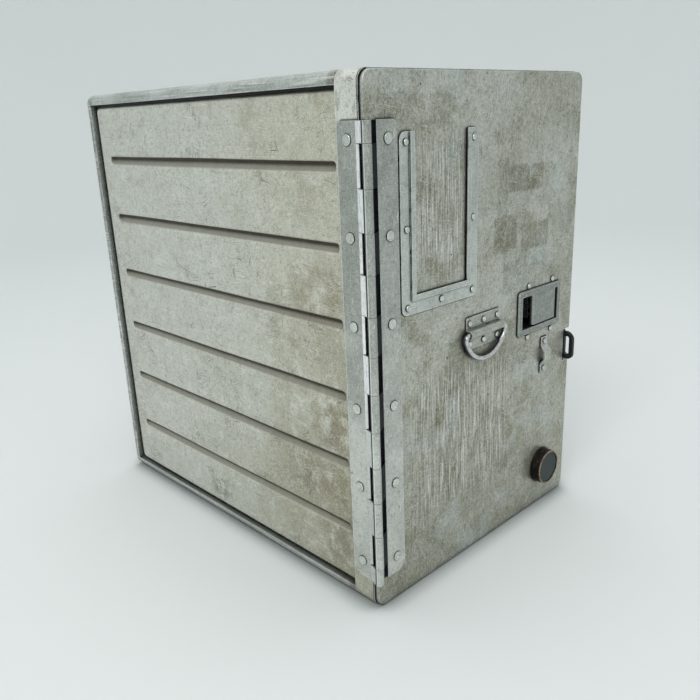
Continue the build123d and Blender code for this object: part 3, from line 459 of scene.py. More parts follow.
SPRING_WIRE_R = 0.35 * MM
SPRING_TURNS = 6
TURN_STEPS = 24
WIRE_STEPS = 8
WIRE_CREASE = 60


def return_spring():
    """The coil spring beside the bolt, a rigid coil that moves with the door."""
    low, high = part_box("latch_spring")
    centre = (low + high) / 2
    coil_r = (high.z - low.z) / 2 - SPRING_WIRE_R
    length = high.x - low.x
    along = Vector((1, 0, 0))
    mesh = bmesh.new()
    rings = []
    for step in range(SPRING_TURNS * TURN_STEPS + 1):
        angle = 2 * math.pi * step / TURN_STEPS
        out = Vector((0, math.cos(angle), math.sin(angle)))
        share = step / (SPRING_TURNS * TURN_STEPS)
        middle = centre + out * coil_r + along * (share - 0.5) * (length - 2 * SPRING_WIRE_R)
        ring = []
        for side in range(WIRE_STEPS):
            turn = 2 * math.pi * side / WIRE_STEPS
            aside = out * math.cos(turn) + along * math.sin(turn)
            ring.append(mesh.verts.new(middle + aside * SPRING_WIRE_R))
        rings.append(ring)
    span_rings(mesh, zip(rings, rings[1:]))
    mesh.faces.new(rings[0])
    mesh.faces.new(rings[-1])
    bmesh.ops.recalc_face_normals(mesh, faces=mesh.faces)
    spring = placed("return_spring", mesh, WIRE_CREASE)
    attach(spring, "door")
    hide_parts("latch_spring")
    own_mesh(spring)
    return spring


# ---------------------------------------------------------------- finishes

# Brownish grime with painted shade, laid in crevices and along the side field's front edge.
GRIME_AND_SHADE = tone(52, 49, 40)
# Painted black shade for crevices, recesses, pockets and seams where little light reaches.
BLACK_SHADE = tone(16, 17, 18)
# Painted black shade for the hinge gully and the dark slots and edges beside it.
GULLY_SHADE = tone(10, 13, 20)
# Light tone for scratches and worn rims, and for painted highlights on edges and the barrel.
BRIGHT = tone(246, 248, 246)

# Side sheets and their grooves.
SIDE_COOL = tone(205, 207, 198)
SIDE_WARM = tone(199, 197, 179)
SIDE_FOOT = tone(152, 148, 125)
SIDE_DULL = tone(162, 161, 144)
SIDE_PALE = tone(224, 227, 220)
SIDE_BROWN = tone(136, 128, 100)
SIDE_GRIT = tone(104, 104, 90)
SIDE_SPARK = tone(238, 240, 232)
SIDE_STREAK = tone(120, 118, 102)
SIDE_SCUFF = tone(56, 56, 48)
SIDE_PIT = tone(50, 52, 42)
# Brown dirt in the grooves, deepened with painted shade, and a painted highlight on their lips.
BEAD_BROWN = tone(60, 50, 34)
BEAD_LIP_HIGHLIGHT = tone(226, 224, 208)

# Plain sheets.
SHEET_GRIT = tone(104, 108, 102)
SHEET_SPARK = tone(236, 240, 236)
SHEET_SCUFF = tone(78, 80, 74)
SHEET_PIT = tone(56, 58, 54)

# Front posts.
POST_FOOT = tone(168, 164, 138)
POST_BLOTCH = tone(136, 137, 126)

# Lid and base.
STRIP_END = tone(112, 96, 74)
REAR_STRIP = tone(96, 98, 90)
ROLLED_LINE = tone(112, 116, 110)

# Door skin.
DOOR_PALE = tone(192, 193, 184)
DOOR_DULL = tone(168, 168, 155)
DOOR_FOOT = tone(134, 132, 110)
DOOR_OLIVE = tone(130, 131, 106)
DOOR_COOL = tone(186, 195, 193)
DOOR_BLOTCH = tone(132, 129, 114)
DOOR_LIGHT = tone(208, 210, 204)
DOOR_RESIDUE = tone(112, 110, 84)
DOOR_STRIPE = tone(112, 105, 84)
DOOR_LINE = tone(238, 241, 236)
DOOR_DARK_LINE = tone(84, 80, 66)
DOOR_GRIT = tone(80, 79, 68)
DOOR_SPARK = tone(230, 231, 223)
DOOR_SCUFF = tone(228, 230, 224)
DOOR_DARK_SCUFF = tone(76, 74, 64)
DOOR_PIT = tone(56, 56, 48)

# Hinge.
LEAF_TOP = tone(176, 179, 172)
LEAF_TOP_DULL = tone(160, 163, 156)
LEAF_FOOT = tone(208, 211, 204)
LEAF_FOOT_DULL = tone(192, 195, 188)
LEAF_BLOTCH = tone(138, 142, 136)
LEAF_GRIT = tone(104, 108, 104)
LEAF_SPARK = tone(228, 232, 228)
LEAF_PIT = tone(50, 54, 50)
# A painted highlight for the hinge's ramps and a painted dark reflection for its barrel.
RAMP_HIGHLIGHT = tone(253, 254, 255)
BARREL_DARK_REFLECTION = tone(34, 34, 34)

# Small fittings.
FITTING_GRIT = tone(96, 98, 96)
FITTING_SPARK = tone(240, 243, 240)
# A painted dark reflection on fitting faces turned away from the front.
FITTING_DARK_REFLECTION = tone(48, 50, 50)

# Latch.
LATCH_GRIT = tone(84, 88, 84)
LATCH_SPARK = tone(220, 224, 220)


def side_sheet():
    """Pale oxidised sheet: warmer and darker towards the hinge and the foot, brown dirt with
    painted shade in the beads and painted highlights on their lips.
    """
    f = Finish("side_sheet", Metallic=0.5)
    cloud = f.noise(75, 3.0, 0.55, seed=1)
    mottle = f.noise(14, 3.0, 0.65, seed=2)
    sway = f.maths("SUBTRACT", cloud, 0.5)
    along = f.plus(f.axes["y"], f.times(sway, 0.22))
    warm = f.between(along, FRONT + 250 * MM, FRONT + 10 * MM)
    low = f.between(f.plus(f.axes["z"], f.times(sway, 0.25)), 300 * MM, 20 * MM)
    colour = f.blend(warm, SIDE_COOL, SIDE_WARM)
    colour = f.over(colour, SIDE_FOOT, low, f.plus(0.15, f.times(warm, 0.85)), 0.85)
    colour = f.over(colour, SIDE_DULL, f.between(mottle, 0.5, 0.75), 0.4)
    colour = f.over(colour, SIDE_PALE, f.between(mottle, 0.46, 0.3), 0.35)
    brown = f.between(f.noise(34, 3.0, 0.6, seed=4), 0.52, 0.74)
    colour = f.over(colour, SIDE_BROWN, brown, f.plus(0.06, f.times(warm, 0.4)))
    for depth, height, reach_y, reach_z, strength, stain in STAINS:
        shape = f.patch(
            ("y", FRONT + depth * MM, reach_y * MM), ("z", height * MM, reach_z * MM), 22 * MM
        )
        shape = f.times(shape, f.between(mottle, 0.36, 0.58), strength)
        colour = f.over(colour, stain, shape)
    colour = f.grit(colour, SIDE_GRIT, SIDE_SPARK, 0.42, seed=12, size=1.1)
    streaks = f.noise((4, 60, 1.1), 2.0, 0.6, seed=13)
    colour = f.over(colour, SIDE_STREAK, f.between(streaks, 0.56, 0.7), 0.16)
    # Dark scuffs in patches, long light scratches and pits.
    scuffs = f.hairs((10, 0, 0), 22, 0.42, 0.1, seed=5, warp=0.3)
    for angle, seed in ((28, 6), (62, 7), (84, 14), (104, 15), (128, 8), (158, 9)):
        scuffs = f.either(scuffs, f.hairs((angle, 0, 0), 22, 0.42, 0.15, seed, warp=0.3))
    scuffs = f.times(scuffs, f.between(f.noise(42, 1.0, 0.5, seed=17), 0.5, 0.6))
    colour = f.over(colour, SIDE_SCUFF, scuffs, 0.85)
    light = f.either(
        f.hairs((97, 0, 0), 40, 0.4, 0.15, seed=11, warp=0.3),
        f.hairs((75, 0, 0), 26, 0.4, 0.1, seed=16, warp=0.4),
    )
    colour = f.over(colour, BRIGHT, light, 0.5)
    pits = f.either(f.specks(13, 0.6, 0.35, seed=1), f.specks(44, 1.5, 0.3, seed=2))
    colour = f.over(colour, SIDE_PIT, pits, 0.85)
    # Brown dirt in the grooves, deepened by painted shade on flanks facing down or back, a painted
    # highlight on the lip below each, and painted black shade in the recess round the field.
    inward = f.maths("SUBTRACT", f.off_middle(), SIDE_FACE)
    border_z = f.without(f.near("z", HEIGHT / 2, HEIGHT / 2 - FIELD_Z[0] - 4 * MM, MM))
    bead = f.times(
        f.between(inward, -1.0 * MM, -1.8 * MM),
        f.span("y", BEAD_Y[0] - BEAD_HALF, BEAD_Y[1] + BEAD_HALF, MM),
    )
    bead = f.times(bead, f.near("z", HEIGHT / 2, BEADS_HALF_Z, MM))
    # Painted shade deepens the brown on flanks that face down or back.
    shaded = f.either(f.between(f.facing("z"), 0.3, -0.35), f.between(f.facing("y"), 0.1, 0.4))
    colour = f.over(colour, BEAD_BROWN, bead, f.plus(0.72, f.times(shaded, 0.28)), 0.93)
    # A painted highlight on the up-facing lip below each groove.
    lip_highlight = f.times(f.between(f.facing("z"), 0.2, 0.6), f.without(border_z))
    colour = f.over(colour, BEAD_LIP_HIGHLIGHT, lip_highlight, 0.3)
    # Grime with painted shade in crevices, and a painted black shade line round fittings.
    colour = f.over(colour, GRIME_AND_SHADE, f.crevices(9, 0.9, 0.4), 0.6)
    colour = f.outline(colour, 1.8, 0.8)
    # Painted shade along the front edge of the pressed field, by the post.
    field_edge_shade = f.between(f.axes["y"], FIELD_Y[0] + 9 * MM, FIELD_Y[0] + 2 * MM)
    colour = f.over(colour, GRIME_AND_SHADE, field_edge_shade, 0.45)
    # Painted black shade in the recess round the field, away from the grooves.
    border = f.between(inward, -2.0 * MM, -3.2 * MM)
    border = f.times(
        border,
        f.without(
            f.times(
                f.span("y", BEAD_Y[0] - 6 * MM, BEAD_Y[1] + 6 * MM, MM),
                f.near("z", HEIGHT / 2, BEADS_HALF_Z, MM),
            ),
        ),
    )
    colour = f.over(colour, BLACK_SHADE, border)
    height = f.plus(
        f.times(cloud, 0.3), f.times(scuffs, -0.1), f.times(pits, -0.35), f.times(mottle, 0.1)
    )
    f.relief(height, 1.0)
    rough = f.plus(0.34, f.times(mottle, 0.22), f.times(bead, 0.15))
    return f.finish(colour, rough)


def plain_sheet(name, base, dark, metallic=0.8, roughness=0.38, seed=20, soil=None):
    """Satin sheet with faint clouds, fine grain, scuffs, worn bright rims, grime with painted shade
    in the corners and a painted black shade line round fittings.
    """
    f = Finish(name, Metallic=metallic)
    cloud = f.noise(55, 2.0, 0.5, seed=seed)
    mottle = f.noise(7, 3.0, 0.7, seed=seed + 1)
    colour = f.blend(f.between(cloud, 0.3, 0.75), base, dark)
    colour = f.over(colour, dark, f.between(mottle, 0.52, 0.75), 0.3)
    upright = f.noise((2.2, 2.2, 60), 2.0, 0.6, seed=seed + 13)
    colour = f.over(colour, dark, f.between(upright, 0.54, 0.7), 0.25)
    if soil:
        colour = soil(f, colour)
    colour = f.grit(colour, SHEET_GRIT, SHEET_SPARK, 0.3, seed + 6, 1.2)
    scratch = f.hairs((0, 20, 0), 14, 0.38, 0.3, seed + 2, warp=0.3)
    for turn, offset in (((75, 40, 0), 3), ((15, 90, 0), 8), ((0, 62, 30), 9)):
        scratch = f.either(scratch, f.hairs(turn, 16, 0.38, 0.25, seed + offset, warp=0.3))
    colour = f.over(colour, BRIGHT, scratch, 0.6)
    scuff = f.either(
        f.hairs((40, 70, 0), 9, 0.4, 0.2, seed + 10), f.hairs((110, 15, 0), 9, 0.4, 0.2, seed + 11)
    )
    colour = f.over(colour, SHEET_SCUFF, scuff, 0.7)
    pits = f.either(f.specks(9, 0.5, 0.35, seed + 4), f.specks(26, 1.1, 0.35, seed + 5))
    colour = f.over(colour, SHEET_PIT, pits, 0.8)
    # Grime with painted shade in crevices, then a painted black shade line round fittings.
    colour = f.over(colour, GRIME_AND_SHADE, f.crevices(7, 0.9, 0.4), 0.5)
    colour = f.outline(colour, 1.8, 0.85)
    worn = f.times(f.rims(1.0), f.between(f.noise(7, 2.0, 0.6, seed=seed + 12), 0.3, 0.55))
    colour = f.over(colour, BRIGHT, worn, 0.85)
    f.relief(f.plus(f.times(cloud, 0.2), f.times(mottle, 0.06), f.times(pits, -0.25)), 0.8)
    return f.finish(colour, f.plus(roughness - 0.08, f.times(mottle, 0.2)))


CAP_END = FRONT + 28 * MM
REAR_RIM = FRONT + 388 * MM


def post_soil(f, colour):
    """The frame: blotchy, beige at the foot, and painted black shade behind the hinge's slots and
    along its front edge by the door.
    """
    foot = f.between(f.axes["z"], 46 * MM, 18 * MM)
    colour = f.over(colour, POST_FOOT, foot, 0.8)
    blotch = f.noise((6, 6, 12), 3.0, 0.7, seed=29)
    colour = f.over(colour, POST_BLOTCH, f.between(blotch, 0.5, 0.64), 0.5)
    # Painted black shade behind the hinge's slots and along the post's front edge by the door.
    slots = f.times(
        f.span("z", HINGE_Z[0], HINGE_Z[1], MM), f.span("y", FRONT + MM, FRONT + 8 * MM, MM)
    )
    slots = f.times(slots, f.between(f.axes["x"], LEFT + 3 * MM, LEFT + 2 * MM))
    door_gap_shade = f.between(f.axes["y"], FRONT + 6.2 * MM, FRONT + 5.6 * MM)
    return f.over(colour, GULLY_SHADE, f.either(slots, f.times(door_gap_shade, 0.95)))


def shell_soil(f, colour):
    """The lid and base: brown behind the posts' caps, a painted black shade line where the caps
    meet them, dull at the rear, with rolled lines.
    """
    ends = f.times(f.span("y", CAP_END - 2 * MM, CAP_END + 7 * MM, 6 * MM), 0.6)
    ends = f.times(ends, f.between(f.off_middle(), -LEFT - 10 * MM, -LEFT - 6 * MM))
    colour = f.over(colour, STRIP_END, ends)
    # A painted black shade line where the caps meet the lid and base.
    seam_shade = f.between(f.axes["y"], CAP_END + 0.4 * MM, CAP_END - 0.4 * MM)
    seam_shade = f.times(seam_shade, f.between(f.off_middle(), -LEFT - 9.6 * MM, -LEFT - 9.2 * MM))
    colour = f.over(colour, BLACK_SHADE, seam_shade)
    strip = f.times(f.between(f.axes["y"], REAR_RIM, REAR_RIM + 4 * MM), 0.55)
    strip = f.times(strip, f.between(f.off_middle(), -LEFT - 1.2 * MM, -LEFT - 0.6 * MM))
    strip = f.times(strip, f.between(f.noise((4, 4, 26), 2.0, 0.6, seed=27), 0.38, 0.56))
    colour = f.over(colour, REAR_STRIP, strip)
    rolled = f.noise((1.6, 70, 1.6), 2.0, 0.6, seed=24)
    colour = f.over(colour, ROLLED_LINE, f.between(rolled, 0.54, 0.68), 0.5)
    return f.over(colour, BRIGHT, f.between(rolled, 0.44, 0.34), 0.5)


def door_sheet():
    """Grey door skin: olive blotches, traces of old labels and many upright light scratches."""
    f = Finish("door_sheet", Metallic=0.7)
    cloud = f.noise(60, 3.0, 0.6, seed=31)
    mottle = f.noise(11, 4.0, 0.7, seed=32)
    colour = f.blend(f.between(cloud, 0.3, 0.7), DOOR_PALE, DOOR_DULL)
    low = f.between(
        f.plus(f.axes["z"], f.times(f.maths("SUBTRACT", cloud, 0.5), 0.2)), 250 * MM, 0.0
    )
    colour = f.over(colour, DOOR_FOOT, low, 0.5)
    olive = f.between(f.noise(32, 3.0, 0.6, seed=33), 0.48, 0.66)
    colour = f.over(colour, DOOR_OLIVE, olive, 0.6)
    cool = f.between(f.noise(44, 2.0, 0.5, seed=48), 0.52, 0.68)
    colour = f.over(colour, DOOR_COOL, cool, 0.5)
    colour = f.over(colour, DOOR_BLOTCH, f.between(mottle, 0.52, 0.74), 0.35)
    colour = f.over(colour, DOOR_LIGHT, f.between(mottle, 0.46, 0.3), 0.25)

    def spot(x, z):
        return door_low.x + x * MM, z * MM

    # Traces of labels, then upright scratches in two areas.
    residue = 0.0
    for x, z, half_x, half_z, strength in RESIDUE:
        centre_x, centre_z = spot(x, z)
        shape = f.patch(("x", centre_x, half_x * MM), ("z", centre_z, half_z * MM), 3 * MM)
        residue = f.either(f.times(shape, strength), residue)
    residue = f.times(residue, f.plus(0.45, f.times(f.between(mottle, 0.25, 0.55), 0.55)))
    colour = f.over(colour, DOOR_RESIDUE, residue)
    x_mid, z_mid = spot(112, 122)
    field = f.patch(("x", x_mid, 62 * MM), ("z", z_mid, 56 * MM), 40 * MM)
    x_mid, z_mid = spot(80, 318)
    field = f.either(field, f.patch(("x", x_mid, 26 * MM), ("z", z_mid, 50 * MM), 30 * MM))
    stripes = f.noise((1.8, 4, 45), 2.0, 0.6, seed=35)
    colour = f.over(colour, DOOR_STRIPE, f.between(stripes, 0.49, 0.62), field, 0.62)
    upright = f.noise((0.7, 4, 40), 1.0, 0.5, seed=36)
    lines = f.times(f.between(upright, 0.57, 0.63), f.plus(0.12, f.times(field, 0.88)))
    colour = f.over(colour, DOOR_LINE, lines, 0.9)
    dark_lines = f.times(
        f.between(f.noise((0.6, 4, 28), 1.0, 0.5, seed=49), 0.6, 0.66), f.plus(0.1, field)
    )
    colour = f.over(colour, DOOR_DARK_LINE, dark_lines, 0.6)
    colour = f.grit(colour, DOOR_GRIT, DOOR_SPARK, 0.38, seed=43, size=1.1)
    # Scuffs in all directions, pits, chips near the top, and grime with painted shade by the
    # fittings.
    scuffs = f.hairs((0, 0, 0), 18, 0.42, 0.2, seed=37, warp=0.3)
    for angle, seed in ((24, 38), (52, 44), (76, 39), (100, 40), (128, 45), (156, 41)):
        scuffs = f.either(scuffs, f.hairs((0, angle, 0), 18, 0.4, 0.15, seed, warp=0.45))
    colour = f.over(colour, DOOR_SCUFF, scuffs, 0.45)
    dark_scuffs = f.either(
        f.hairs((0, 40, 0), 10, 0.4, 0.4, seed=46, warp=0.5),
        f.hairs((0, 8, 0), 12, 0.4, 0.4, seed=47),
    )
    colour = f.over(colour, DOOR_DARK_SCUFF, dark_scuffs, 0.55)
    chips = f.times(f.specks(13, 1.7, 0.45, seed=21), f.between(f.axes["z"], 350 * MM, 385 * MM))
    pits = f.either(
        f.either(f.specks(8, 0.65, 0.35, seed=5), f.specks(30, 1.4, 0.4, seed=6)), chips
    )
    colour = f.over(colour, DOOR_PIT, pits, 0.8)
    # Grime with painted shade in crevices, then a painted black shade line round fittings.
    colour = f.over(colour, GRIME_AND_SHADE, f.crevices(8, 0.92, 0.4), 0.5)
    colour = f.outline(colour, 2.2)
    # Painted black shade in the gully beside the hinge barrel.
    gully = f.times(
        f.between(f.axes["x"], LEAF_X + 0.6 * MM, LEAF_X - 0.2 * MM),
        f.span("z", HINGE_Z[0], HINGE_Z[1], MM),
    )
    colour = f.over(colour, GULLY_SHADE, gully)
    worn = f.times(
        f.rims(1.1), f.between(f.noise(9, 2.0, 0.6, seed=42), 0.25, 0.5), f.without(gully)
    )
    colour = f.over(colour, BRIGHT, worn, 0.8)
    # A painted black shade line along the skin's rear edge.
    rear_edge_shade = f.between(f.axes["y"], FRONT + 2.1 * MM, FRONT + 2.6 * MM)
    colour = f.over(colour, BLACK_SHADE, rear_edge_shade, 0.9)
    height = f.plus(
        f.times(cloud, 0.25), f.times(mottle, 0.08), f.times(lines, -0.08), f.times(pits, -0.25)
    )
    f.relief(height, 1.0)
    return f.finish(
        colour, f.plus(0.3, f.times(mottle, 0.2), f.times(residue, 0.15), f.times(gully, 0.3))
    )


# Traces of labels and dull areas on the door, in millimetres: the centre from its left edge and
# the floor, half sizes, and a strength.
RESIDUE = (
    (195, 333, 30, 11, 0.62),
    (168, 288, 17, 15, 0.62),
    (214, 281, 22, 12, 0.5),
    (163, 325, 8, 26, 0.4),
    (180, 248, 14, 14, 0.35),
    (40, 388, 22, 16, 0.4),
    (150, 186, 60, 24, 0.32),
    (205, 236, 26, 20, 0.3),
)

# Stains on the sides, in millimetres: depth, height and half sizes, then a strength and a tone.
STAINS = (
    (42, 150, 24, 22, 0.6, tone(118, 102, 74)),
    (58, 96, 30, 16, 0.5, tone(124, 110, 80)),
    (60, 262, 26, 22, 0.4, tone(140, 124, 94)),
    (225, 30, 14, 9, 0.75, tone(70, 78, 60)),
    (40, 44, 30, 26, 0.45, tone(116, 108, 84)),
    (75, 200, 50, 60, 0.3, tone(148, 142, 116)),
)


def hinge_metal():
    """Leaf metal: darker above, a painted highlight strip and a painted dark reflection line on the
    barrel, painted black shade in the gully.
    """
    f = Finish("hinge_metal", Metallic=0.85)
    cloud = f.noise(26, 2.0, 0.5, seed=51)
    mottle = f.noise(4, 3.0, 0.6, seed=52)
    low = f.between(
        f.plus(f.axes["z"], f.times(f.maths("SUBTRACT", cloud, 0.5), 0.1)), 250 * MM, 110 * MM
    )
    upper = f.blend(f.between(cloud, 0.35, 0.65), LEAF_TOP, LEAF_TOP_DULL)
    lower = f.blend(f.between(cloud, 0.35, 0.65), LEAF_FOOT, LEAF_FOOT_DULL)
    colour = f.blend(low, upper, lower)
    colour = f.over(colour, LEAF_BLOTCH, f.between(mottle, 0.5, 0.8), 0.25)
    colour = f.grit(colour, LEAF_GRIT, LEAF_SPARK, 0.4, seed=55, size=1.1)
    pits = f.either(f.specks(8, 0.45, 0.3, seed=8), f.specks(24, 1.0, 0.3, seed=9))
    colour = f.over(colour, LEAF_PIT, pits, 0.8)
    scratch = f.either(
        f.hairs((0, 12, 0), 16, 0.35, 0.5, seed=53), f.hairs((10, 0, 0), 16, 0.35, 0.5, seed=54)
    )
    colour = f.over(colour, BRIGHT, scratch, 0.5)
    # Painted highlight: a bright strip on the polished ramps, broken into patches.
    off_corner = f.between(f.axes["x"], LEFT + 1.0 * MM, LEFT + 0.2 * MM)
    high = f.plus(0.25, f.times(f.between(f.axes["z"], 130 * MM, 215 * MM), 0.75))
    ramp_highlight = f.times(f.span("y", FRONT - 0.9 * MM, FRONT + 6.4 * MM, 0.3 * MM), off_corner, high)
    rubbed = f.between(f.noise((1.2, 1.2, 5), 3.0, 0.7, seed=56), 0.36, 0.52)
    colour = f.over(colour, RAMP_HIGHLIGHT, ramp_highlight, f.plus(0.45, f.times(rubbed, 0.55)))
    # A painted dark reflection line on the barrel, then a painted glint beside it.
    line = f.times(f.span("y", PIN_Y + 0.6 * MM, PIN_Y + 2.2 * MM, 0.5 * MM), off_corner)
    colour = f.over(colour, BARREL_DARK_REFLECTION, line, 0.9)
    glint = f.times(f.span("y", PIN_Y - 0.5 * MM, PIN_Y + 0.3 * MM, 0.4 * MM), off_corner)
    colour = f.over(colour, BRIGHT, glint, 0.7)
    # A painted black shade line round fittings, then painted highlights along every edge.
    colour = f.outline(colour, 2.2, 1.0)
    colour = f.over(colour, BRIGHT, f.rims(0.5), 0.6)
    # Painted black shade in the gully between the barrel and the door leaf.
    gully = f.span("x", LEFT + 1.4 * MM, LEAF_X - 0.2 * MM, 0.3 * MM)
    colour = f.over(colour, GULLY_SHADE, gully)
    f.relief(f.plus(f.times(cloud, 0.15), f.times(mottle, 0.03), f.times(pits, -0.2)), 0.7, 0.25)
    rough = f.plus(0.24, f.times(mottle, 0.16), f.times(gully, 0.3), f.times(line, 0.2))
    return f.finish(colour, rough)


def small_metal(name, base, dark, roughness=0.25, seed=60, ringed=0.9, sides=0.0):
    """Small fittings: fine mottling, hairlines, a painted black shade line at the foot and painted
    highlights on the rims.

    Sides above 0 darken the faces that turn away from the front, as a painted dark reflection.
    """
    f = Finish(name, Metallic=1.0)
    mottle = f.noise(2.2, 3.0, 0.6, seed=seed)
    colour = f.blend(f.between(mottle, 0.35, 0.7), base, dark)
    colour = f.grit(colour, FITTING_GRIT, FITTING_SPARK, 0.3, seed + 3, 0.9)
    scratch = f.hairs((20, 35, 0), 5, 0.2, 0.7, seed + 1, warp=0.3)
    colour = f.over(colour, BRIGHT, scratch, 0.5)
    if sides:
        turned = f.between(f.facing("y"), -0.8, -0.3)
        colour = f.over(colour, FITTING_DARK_REFLECTION, turned, sides)
    # A painted black shade line at the foot, then painted highlights on the rims.
    colour = f.outline(colour, 1.9, ringed)
    colour = f.over(colour, BRIGHT, f.rims(0.3), 0.5)
    grain = f.noise(0.5, 2.0, 0.6, seed=seed + 2)
    f.relief(f.plus(f.times(mottle, 0.08), f.times(grain, 0.03)), 0.5, 0.15)
    return f.finish(colour, f.plus(roughness - 0.06, f.times(mottle, 0.18)))


def latch_metal(name, base, dark, inside_y, seed):
    """Cast latch metal with a bright rim of painted highlight and wear, and painted black shade
    below a depth behind the door's face.
    """
    f = Finish(name, Metallic=0.85)
    mottle = f.noise(3, 3.0, 0.6, seed=seed)
    colour = f.blend(f.between(mottle, 0.35, 0.7), base, dark)
    colour = f.grit(colour, LATCH_GRIT, LATCH_SPARK, 0.25, seed + 3, 1.1)
    scratch = f.either(
        f.hairs((0, 25, 0), 8, 0.25, 0.6, seed + 1), f.hairs((0, 80, 0), 8, 0.25, 0.6, seed + 2)
    )
    colour = f.over(colour, BRIGHT, scratch, 0.4)
    # A painted black shade line round fittings, then painted highlights and wear on the rims.
    colour = f.outline(colour, 2.0, 1.0)
    colour = f.over(colour, BRIGHT, f.rims(0.6), 0.9)
    # Painted black shade in the pocket below this depth.
    inside = f.between(f.axes["y"], inside_y, inside_y + 0.6 * MM)
    colour = f.over(colour, BLACK_SHADE, inside, 0.95)
    f.relief(f.times(mottle, 0.08), 0.5, 0.2)
    return f.finish(colour, f.plus(0.26, f.times(mottle, 0.18), f.times(inside, 0.3)))


def dark_metal(name, base, worn_tone, metallic=0.6, seed=70, worn_y=None):
    """Blackened metal, its finish rubbed off along the rims and on faces out past worn_y."""
    f = Finish(name, Metallic=metallic)
    mottle = f.noise(2.5, 3.0, 0.65, seed=seed)
    colour = f.blend(f.times(f.between(mottle, 0.5, 0.8), 0.3), base, worn_tone)
    worn = f.times(f.rims(0.5), f.between(f.noise(2, 2.0, 0.6, seed=seed + 1), 0.3, 0.6))
    if worn_y is not None:
        proud = f.between(f.axes["y"], worn_y + 0.2 * MM, worn_y - 0.2 * MM)
        worn = f.either(worn, f.times(proud, f.between(mottle, 0.3, 0.5)))
    colour = f.over(colour, worn_tone, worn, 0.9)
    grain = f.noise(0.6, 2.0, 0.6, seed=seed + 2)
    f.relief(f.plus(f.times(mottle, 0.1), f.times(grain, 0.05)), 0.5, 0.2)
    return f.finish(colour, f.plus(0.35, f.times(mottle, 0.2)))


def rubber(name, base, dusty, roughness, seed):
    """Smooth dark rubber with a little dust in its hollows."""
    f = Finish(name, Metallic=0.0)
    mottle = f.noise(4, 3.0, 0.6, seed=seed)
    colour = f.blend(f.times(f.between(mottle, 0.4, 0.8), 0.4), base, dusty)
    colour = f.over(colour, dusty, f.crevices(1.5), 0.4)
    grain = f.noise(0.5, 2.0, 0.7, seed=seed + 1)
    f.relief(f.plus(f.times(mottle, 0.1), f.times(grain, 0.05)), 0.4, 0.2)
    return f.finish(colour, f.plus(roughness, f.times(mottle, 0.15)))


# Depths below which the latch's cup and its paddle are painted black as shade.
BEZEL_Y = FRONT - 0.6 * MM
PADDLE_Y = FRONT + 4.6 * MM

FINISHES = {
    "side_sheet": side_sheet(),
    "shell_sheet": plain_sheet(
        "shell_sheet", tone(200, 205, 200), tone(172, 176, 170), seed=20, soil=shell_soil,
    ),
    "frame_extrusion": plain_sheet(
        "frame_extrusion", tone(228, 230, 221), tone(206, 207, 196),
        metallic=0.55, roughness=0.4, seed=100, soil=post_soil,
    ),
    "door_sheet": door_sheet(),
    "pan_sheet": plain_sheet("pan_sheet", tone(196, 200, 196), tone(176, 180, 174), seed=110),
    "hinge_metal": hinge_metal(),
    "pin_steel": small_metal("pin_steel", tone(176, 180, 182), tone(150, 154, 156), seed=120),
    "rivet_metal": small_metal("rivet_metal", tone(222, 225, 219), tone(190, 194, 188), seed=130),
    "holder_sheet": plain_sheet("holder_sheet", tone(200, 205, 200), tone(176, 180, 174), seed=140),
    "plate_sheet": plain_sheet("plate_sheet", tone(192, 195, 186), tone(168, 170, 160), seed=150),
    "latch_cast": latch_metal(
        "latch_cast", tone(146, 150, 144), tone(126, 130, 124), inside_y=BEZEL_Y, seed=160,
    ),
    "latch_steel": small_metal(
        "latch_steel", tone(170, 174, 176), tone(140, 142, 142), roughness=0.35, seed=170,
    ),
    # The ring's faces turned away from the front carry a painted dark reflection.
    "ring_chrome": small_metal(
        "ring_chrome", tone(214, 216, 216), tone(182, 185, 186),
        roughness=0.13, seed=180, ringed=0.95, sides=0.8,
    ),
    "eye_steel": dark_metal("eye_steel", tone(34, 36, 38), tone(92, 94, 94), seed=190),
    "seal_rubber": rubber(
        "seal_rubber", tone(28, 28, 28), tone(60, 58, 54), roughness=0.6, seed=200,
    ),
    "buffer_metal": dark_metal(
        "buffer_metal", tone(26, 25, 24), tone(158, 134, 114),
        metallic=0.7, seed=210, worn_y=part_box("buffer_cup")[0].y + 0.5 * MM,
    ),
    "buffer_rubber": rubber(
        "buffer_rubber", tone(9, 30, 31), tone(30, 52, 52), roughness=0.4, seed=220,
    ),
}
for slot_name, material in FINISHES.items():
    dress(material, slot_name)
for name, node, side in (
    ("side_skin_left", "left_side_panel", -1),
    ("side_skin_right", "right_side_panel", 1),
):
    side_skin(name, node, side).data.materials.append(FINISHES["side_sheet"])
door_seal().data.materials.append(FINISHES["seal_rubber"])
return_spring().data.materials.append(FINISHES["latch_steel"])
nodes["latch_paddle"].data.materials[0] = latch_metal(
    "paddle_cast", tone(150, 155, 149), tone(136, 140, 134), inside_y=PADDLE_Y, seed=165,
)

# ---------------------------------------------------------------- floor, light and camera

FLOOR_FLAT = 1.9
SWEEP_RADIUS = 1.3
WALL_HEIGHT = 2.6
SWEEP_STEPS = 16
ROOM_DULL = tone(224, 227, 226)
ROOM_PALE = tone(228, 231, 230)
ROOM_CONTACT_SHADOW = tone(96, 106, 104)
RING_STEPS = 96


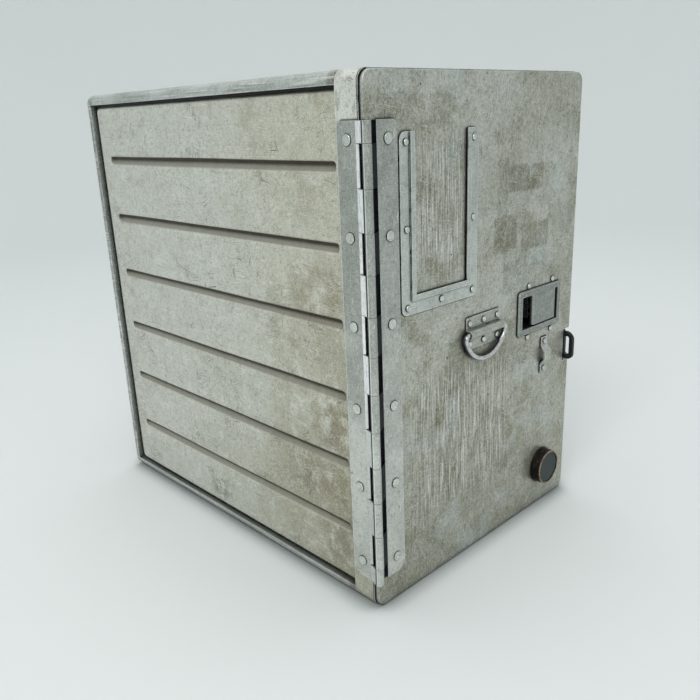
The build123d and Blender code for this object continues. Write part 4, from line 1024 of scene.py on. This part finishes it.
def studio():
    """A round pale room: flat floor, coved foot and an open top."""
    profile = [(0.0, 0.0), (FLOOR_FLAT, 0.0)]
    for step in range(1, SWEEP_STEPS + 1):
        angle = math.pi / 2 * step / SWEEP_STEPS
        across = FLOOR_FLAT + SWEEP_RADIUS * math.sin(angle)
        profile.append((across, SWEEP_RADIUS * (1 - math.cos(angle))))
    profile.append((FLOOR_FLAT + SWEEP_RADIUS, WALL_HEIGHT))
    mesh = bmesh.new()
    points = [mesh.verts.new((across, 0.0, up)) for across, up in profile]
    outline = [mesh.edges.new(pair) for pair in zip(points, points[1:])]
    bmesh.ops.spin(
        mesh, geom=points + outline, cent=(0, 0, 0), axis=(0, 0, 1), dvec=(0, 0, 0),
        angle=2 * math.pi, steps=RING_STEPS,
    )
    bmesh.ops.remove_doubles(mesh, verts=mesh.verts, dist=MM)
    bmesh.ops.recalc_face_normals(mesh, faces=mesh.faces)
    room = placed("studio", mesh)
    f = Finish("studio_paint", Metallic=0.0)
    cloud = f.noise(900, 2.0, 0.5, seed=7)
    colour = f.blend(cloud, ROOM_DULL, ROOM_PALE)
    # A painted contact shadow on the floor round the container.
    colour = f.over(colour, ROOM_CONTACT_SHADOW, f.crevices(24, 0.96, 0.5), 0.6)
    room.data.materials.append(f.finish(colour, 0.9))


def lamp(name, place, target, size, power):
    """A square soft box that points at the target."""
    light = bpy.data.lights.new(name, "AREA")
    light.size = size
    light.energy = power
    holder = bpy.data.objects.new(name, light)
    holder.location = place
    holder.rotation_euler = (target - Vector(place)).to_track_quat("-Z", "Y").to_euler()
    bpy.context.scene.collection.objects.link(holder)


SKY_COLOUR = (0.95, 0.985, 1.0, 1.0)
SKY_STRENGTH = 0.86


def sky():
    """Even, slightly cool light from all round."""
    world = bpy.data.worlds.new("soft_sky")
    world.use_nodes = True
    background = world.node_tree.nodes["Background"]
    background.inputs["Color"].default_value = SKY_COLOUR
    background.inputs["Strength"].default_value = SKY_STRENGTH
    bpy.context.scene.world = world


EYE = Vector((-0.5016, -0.5582, 0.3893))
HEADING = 43.45
PITCH = -17.83
ROLL = -2.36
LENS = 37.37
SENSOR = 36.0
NEAREST = 10 * MM


def camera():
    """Eye level with the lid, off the hinge corner, looking down at the container."""
    data = bpy.data.cameras.new("camera")
    data.lens = LENS
    data.sensor_width = SENSOR
    data.clip_start = NEAREST
    holder = bpy.data.objects.new("camera", data)
    turn = Matrix.Rotation(math.radians(-HEADING), 4, "Z")
    tilt = Matrix.Rotation(math.radians(90 + PITCH), 4, "X")
    lean = Matrix.Rotation(math.radians(ROLL), 4, "Z")
    holder.matrix_world = Matrix.Translation(EYE) @ turn @ tilt @ lean
    bpy.context.scene.collection.objects.link(holder)
    bpy.context.scene.camera = holder


middle = Vector((0.0, 0.0, HEIGHT / 2))
studio()
sky()
lamp("key", (-1.5, -0.7, 2.1), middle, 0.8, 14.0)
lamp("overhead", (0.2, 0.1, 2.4), middle, 1.2, 6.0)
lamp("front_fill", (-0.9, -1.7, 1.1), middle, 0.5, 4.0)
camera()
bpy.context.scene.view_settings.view_transform = "Standard"
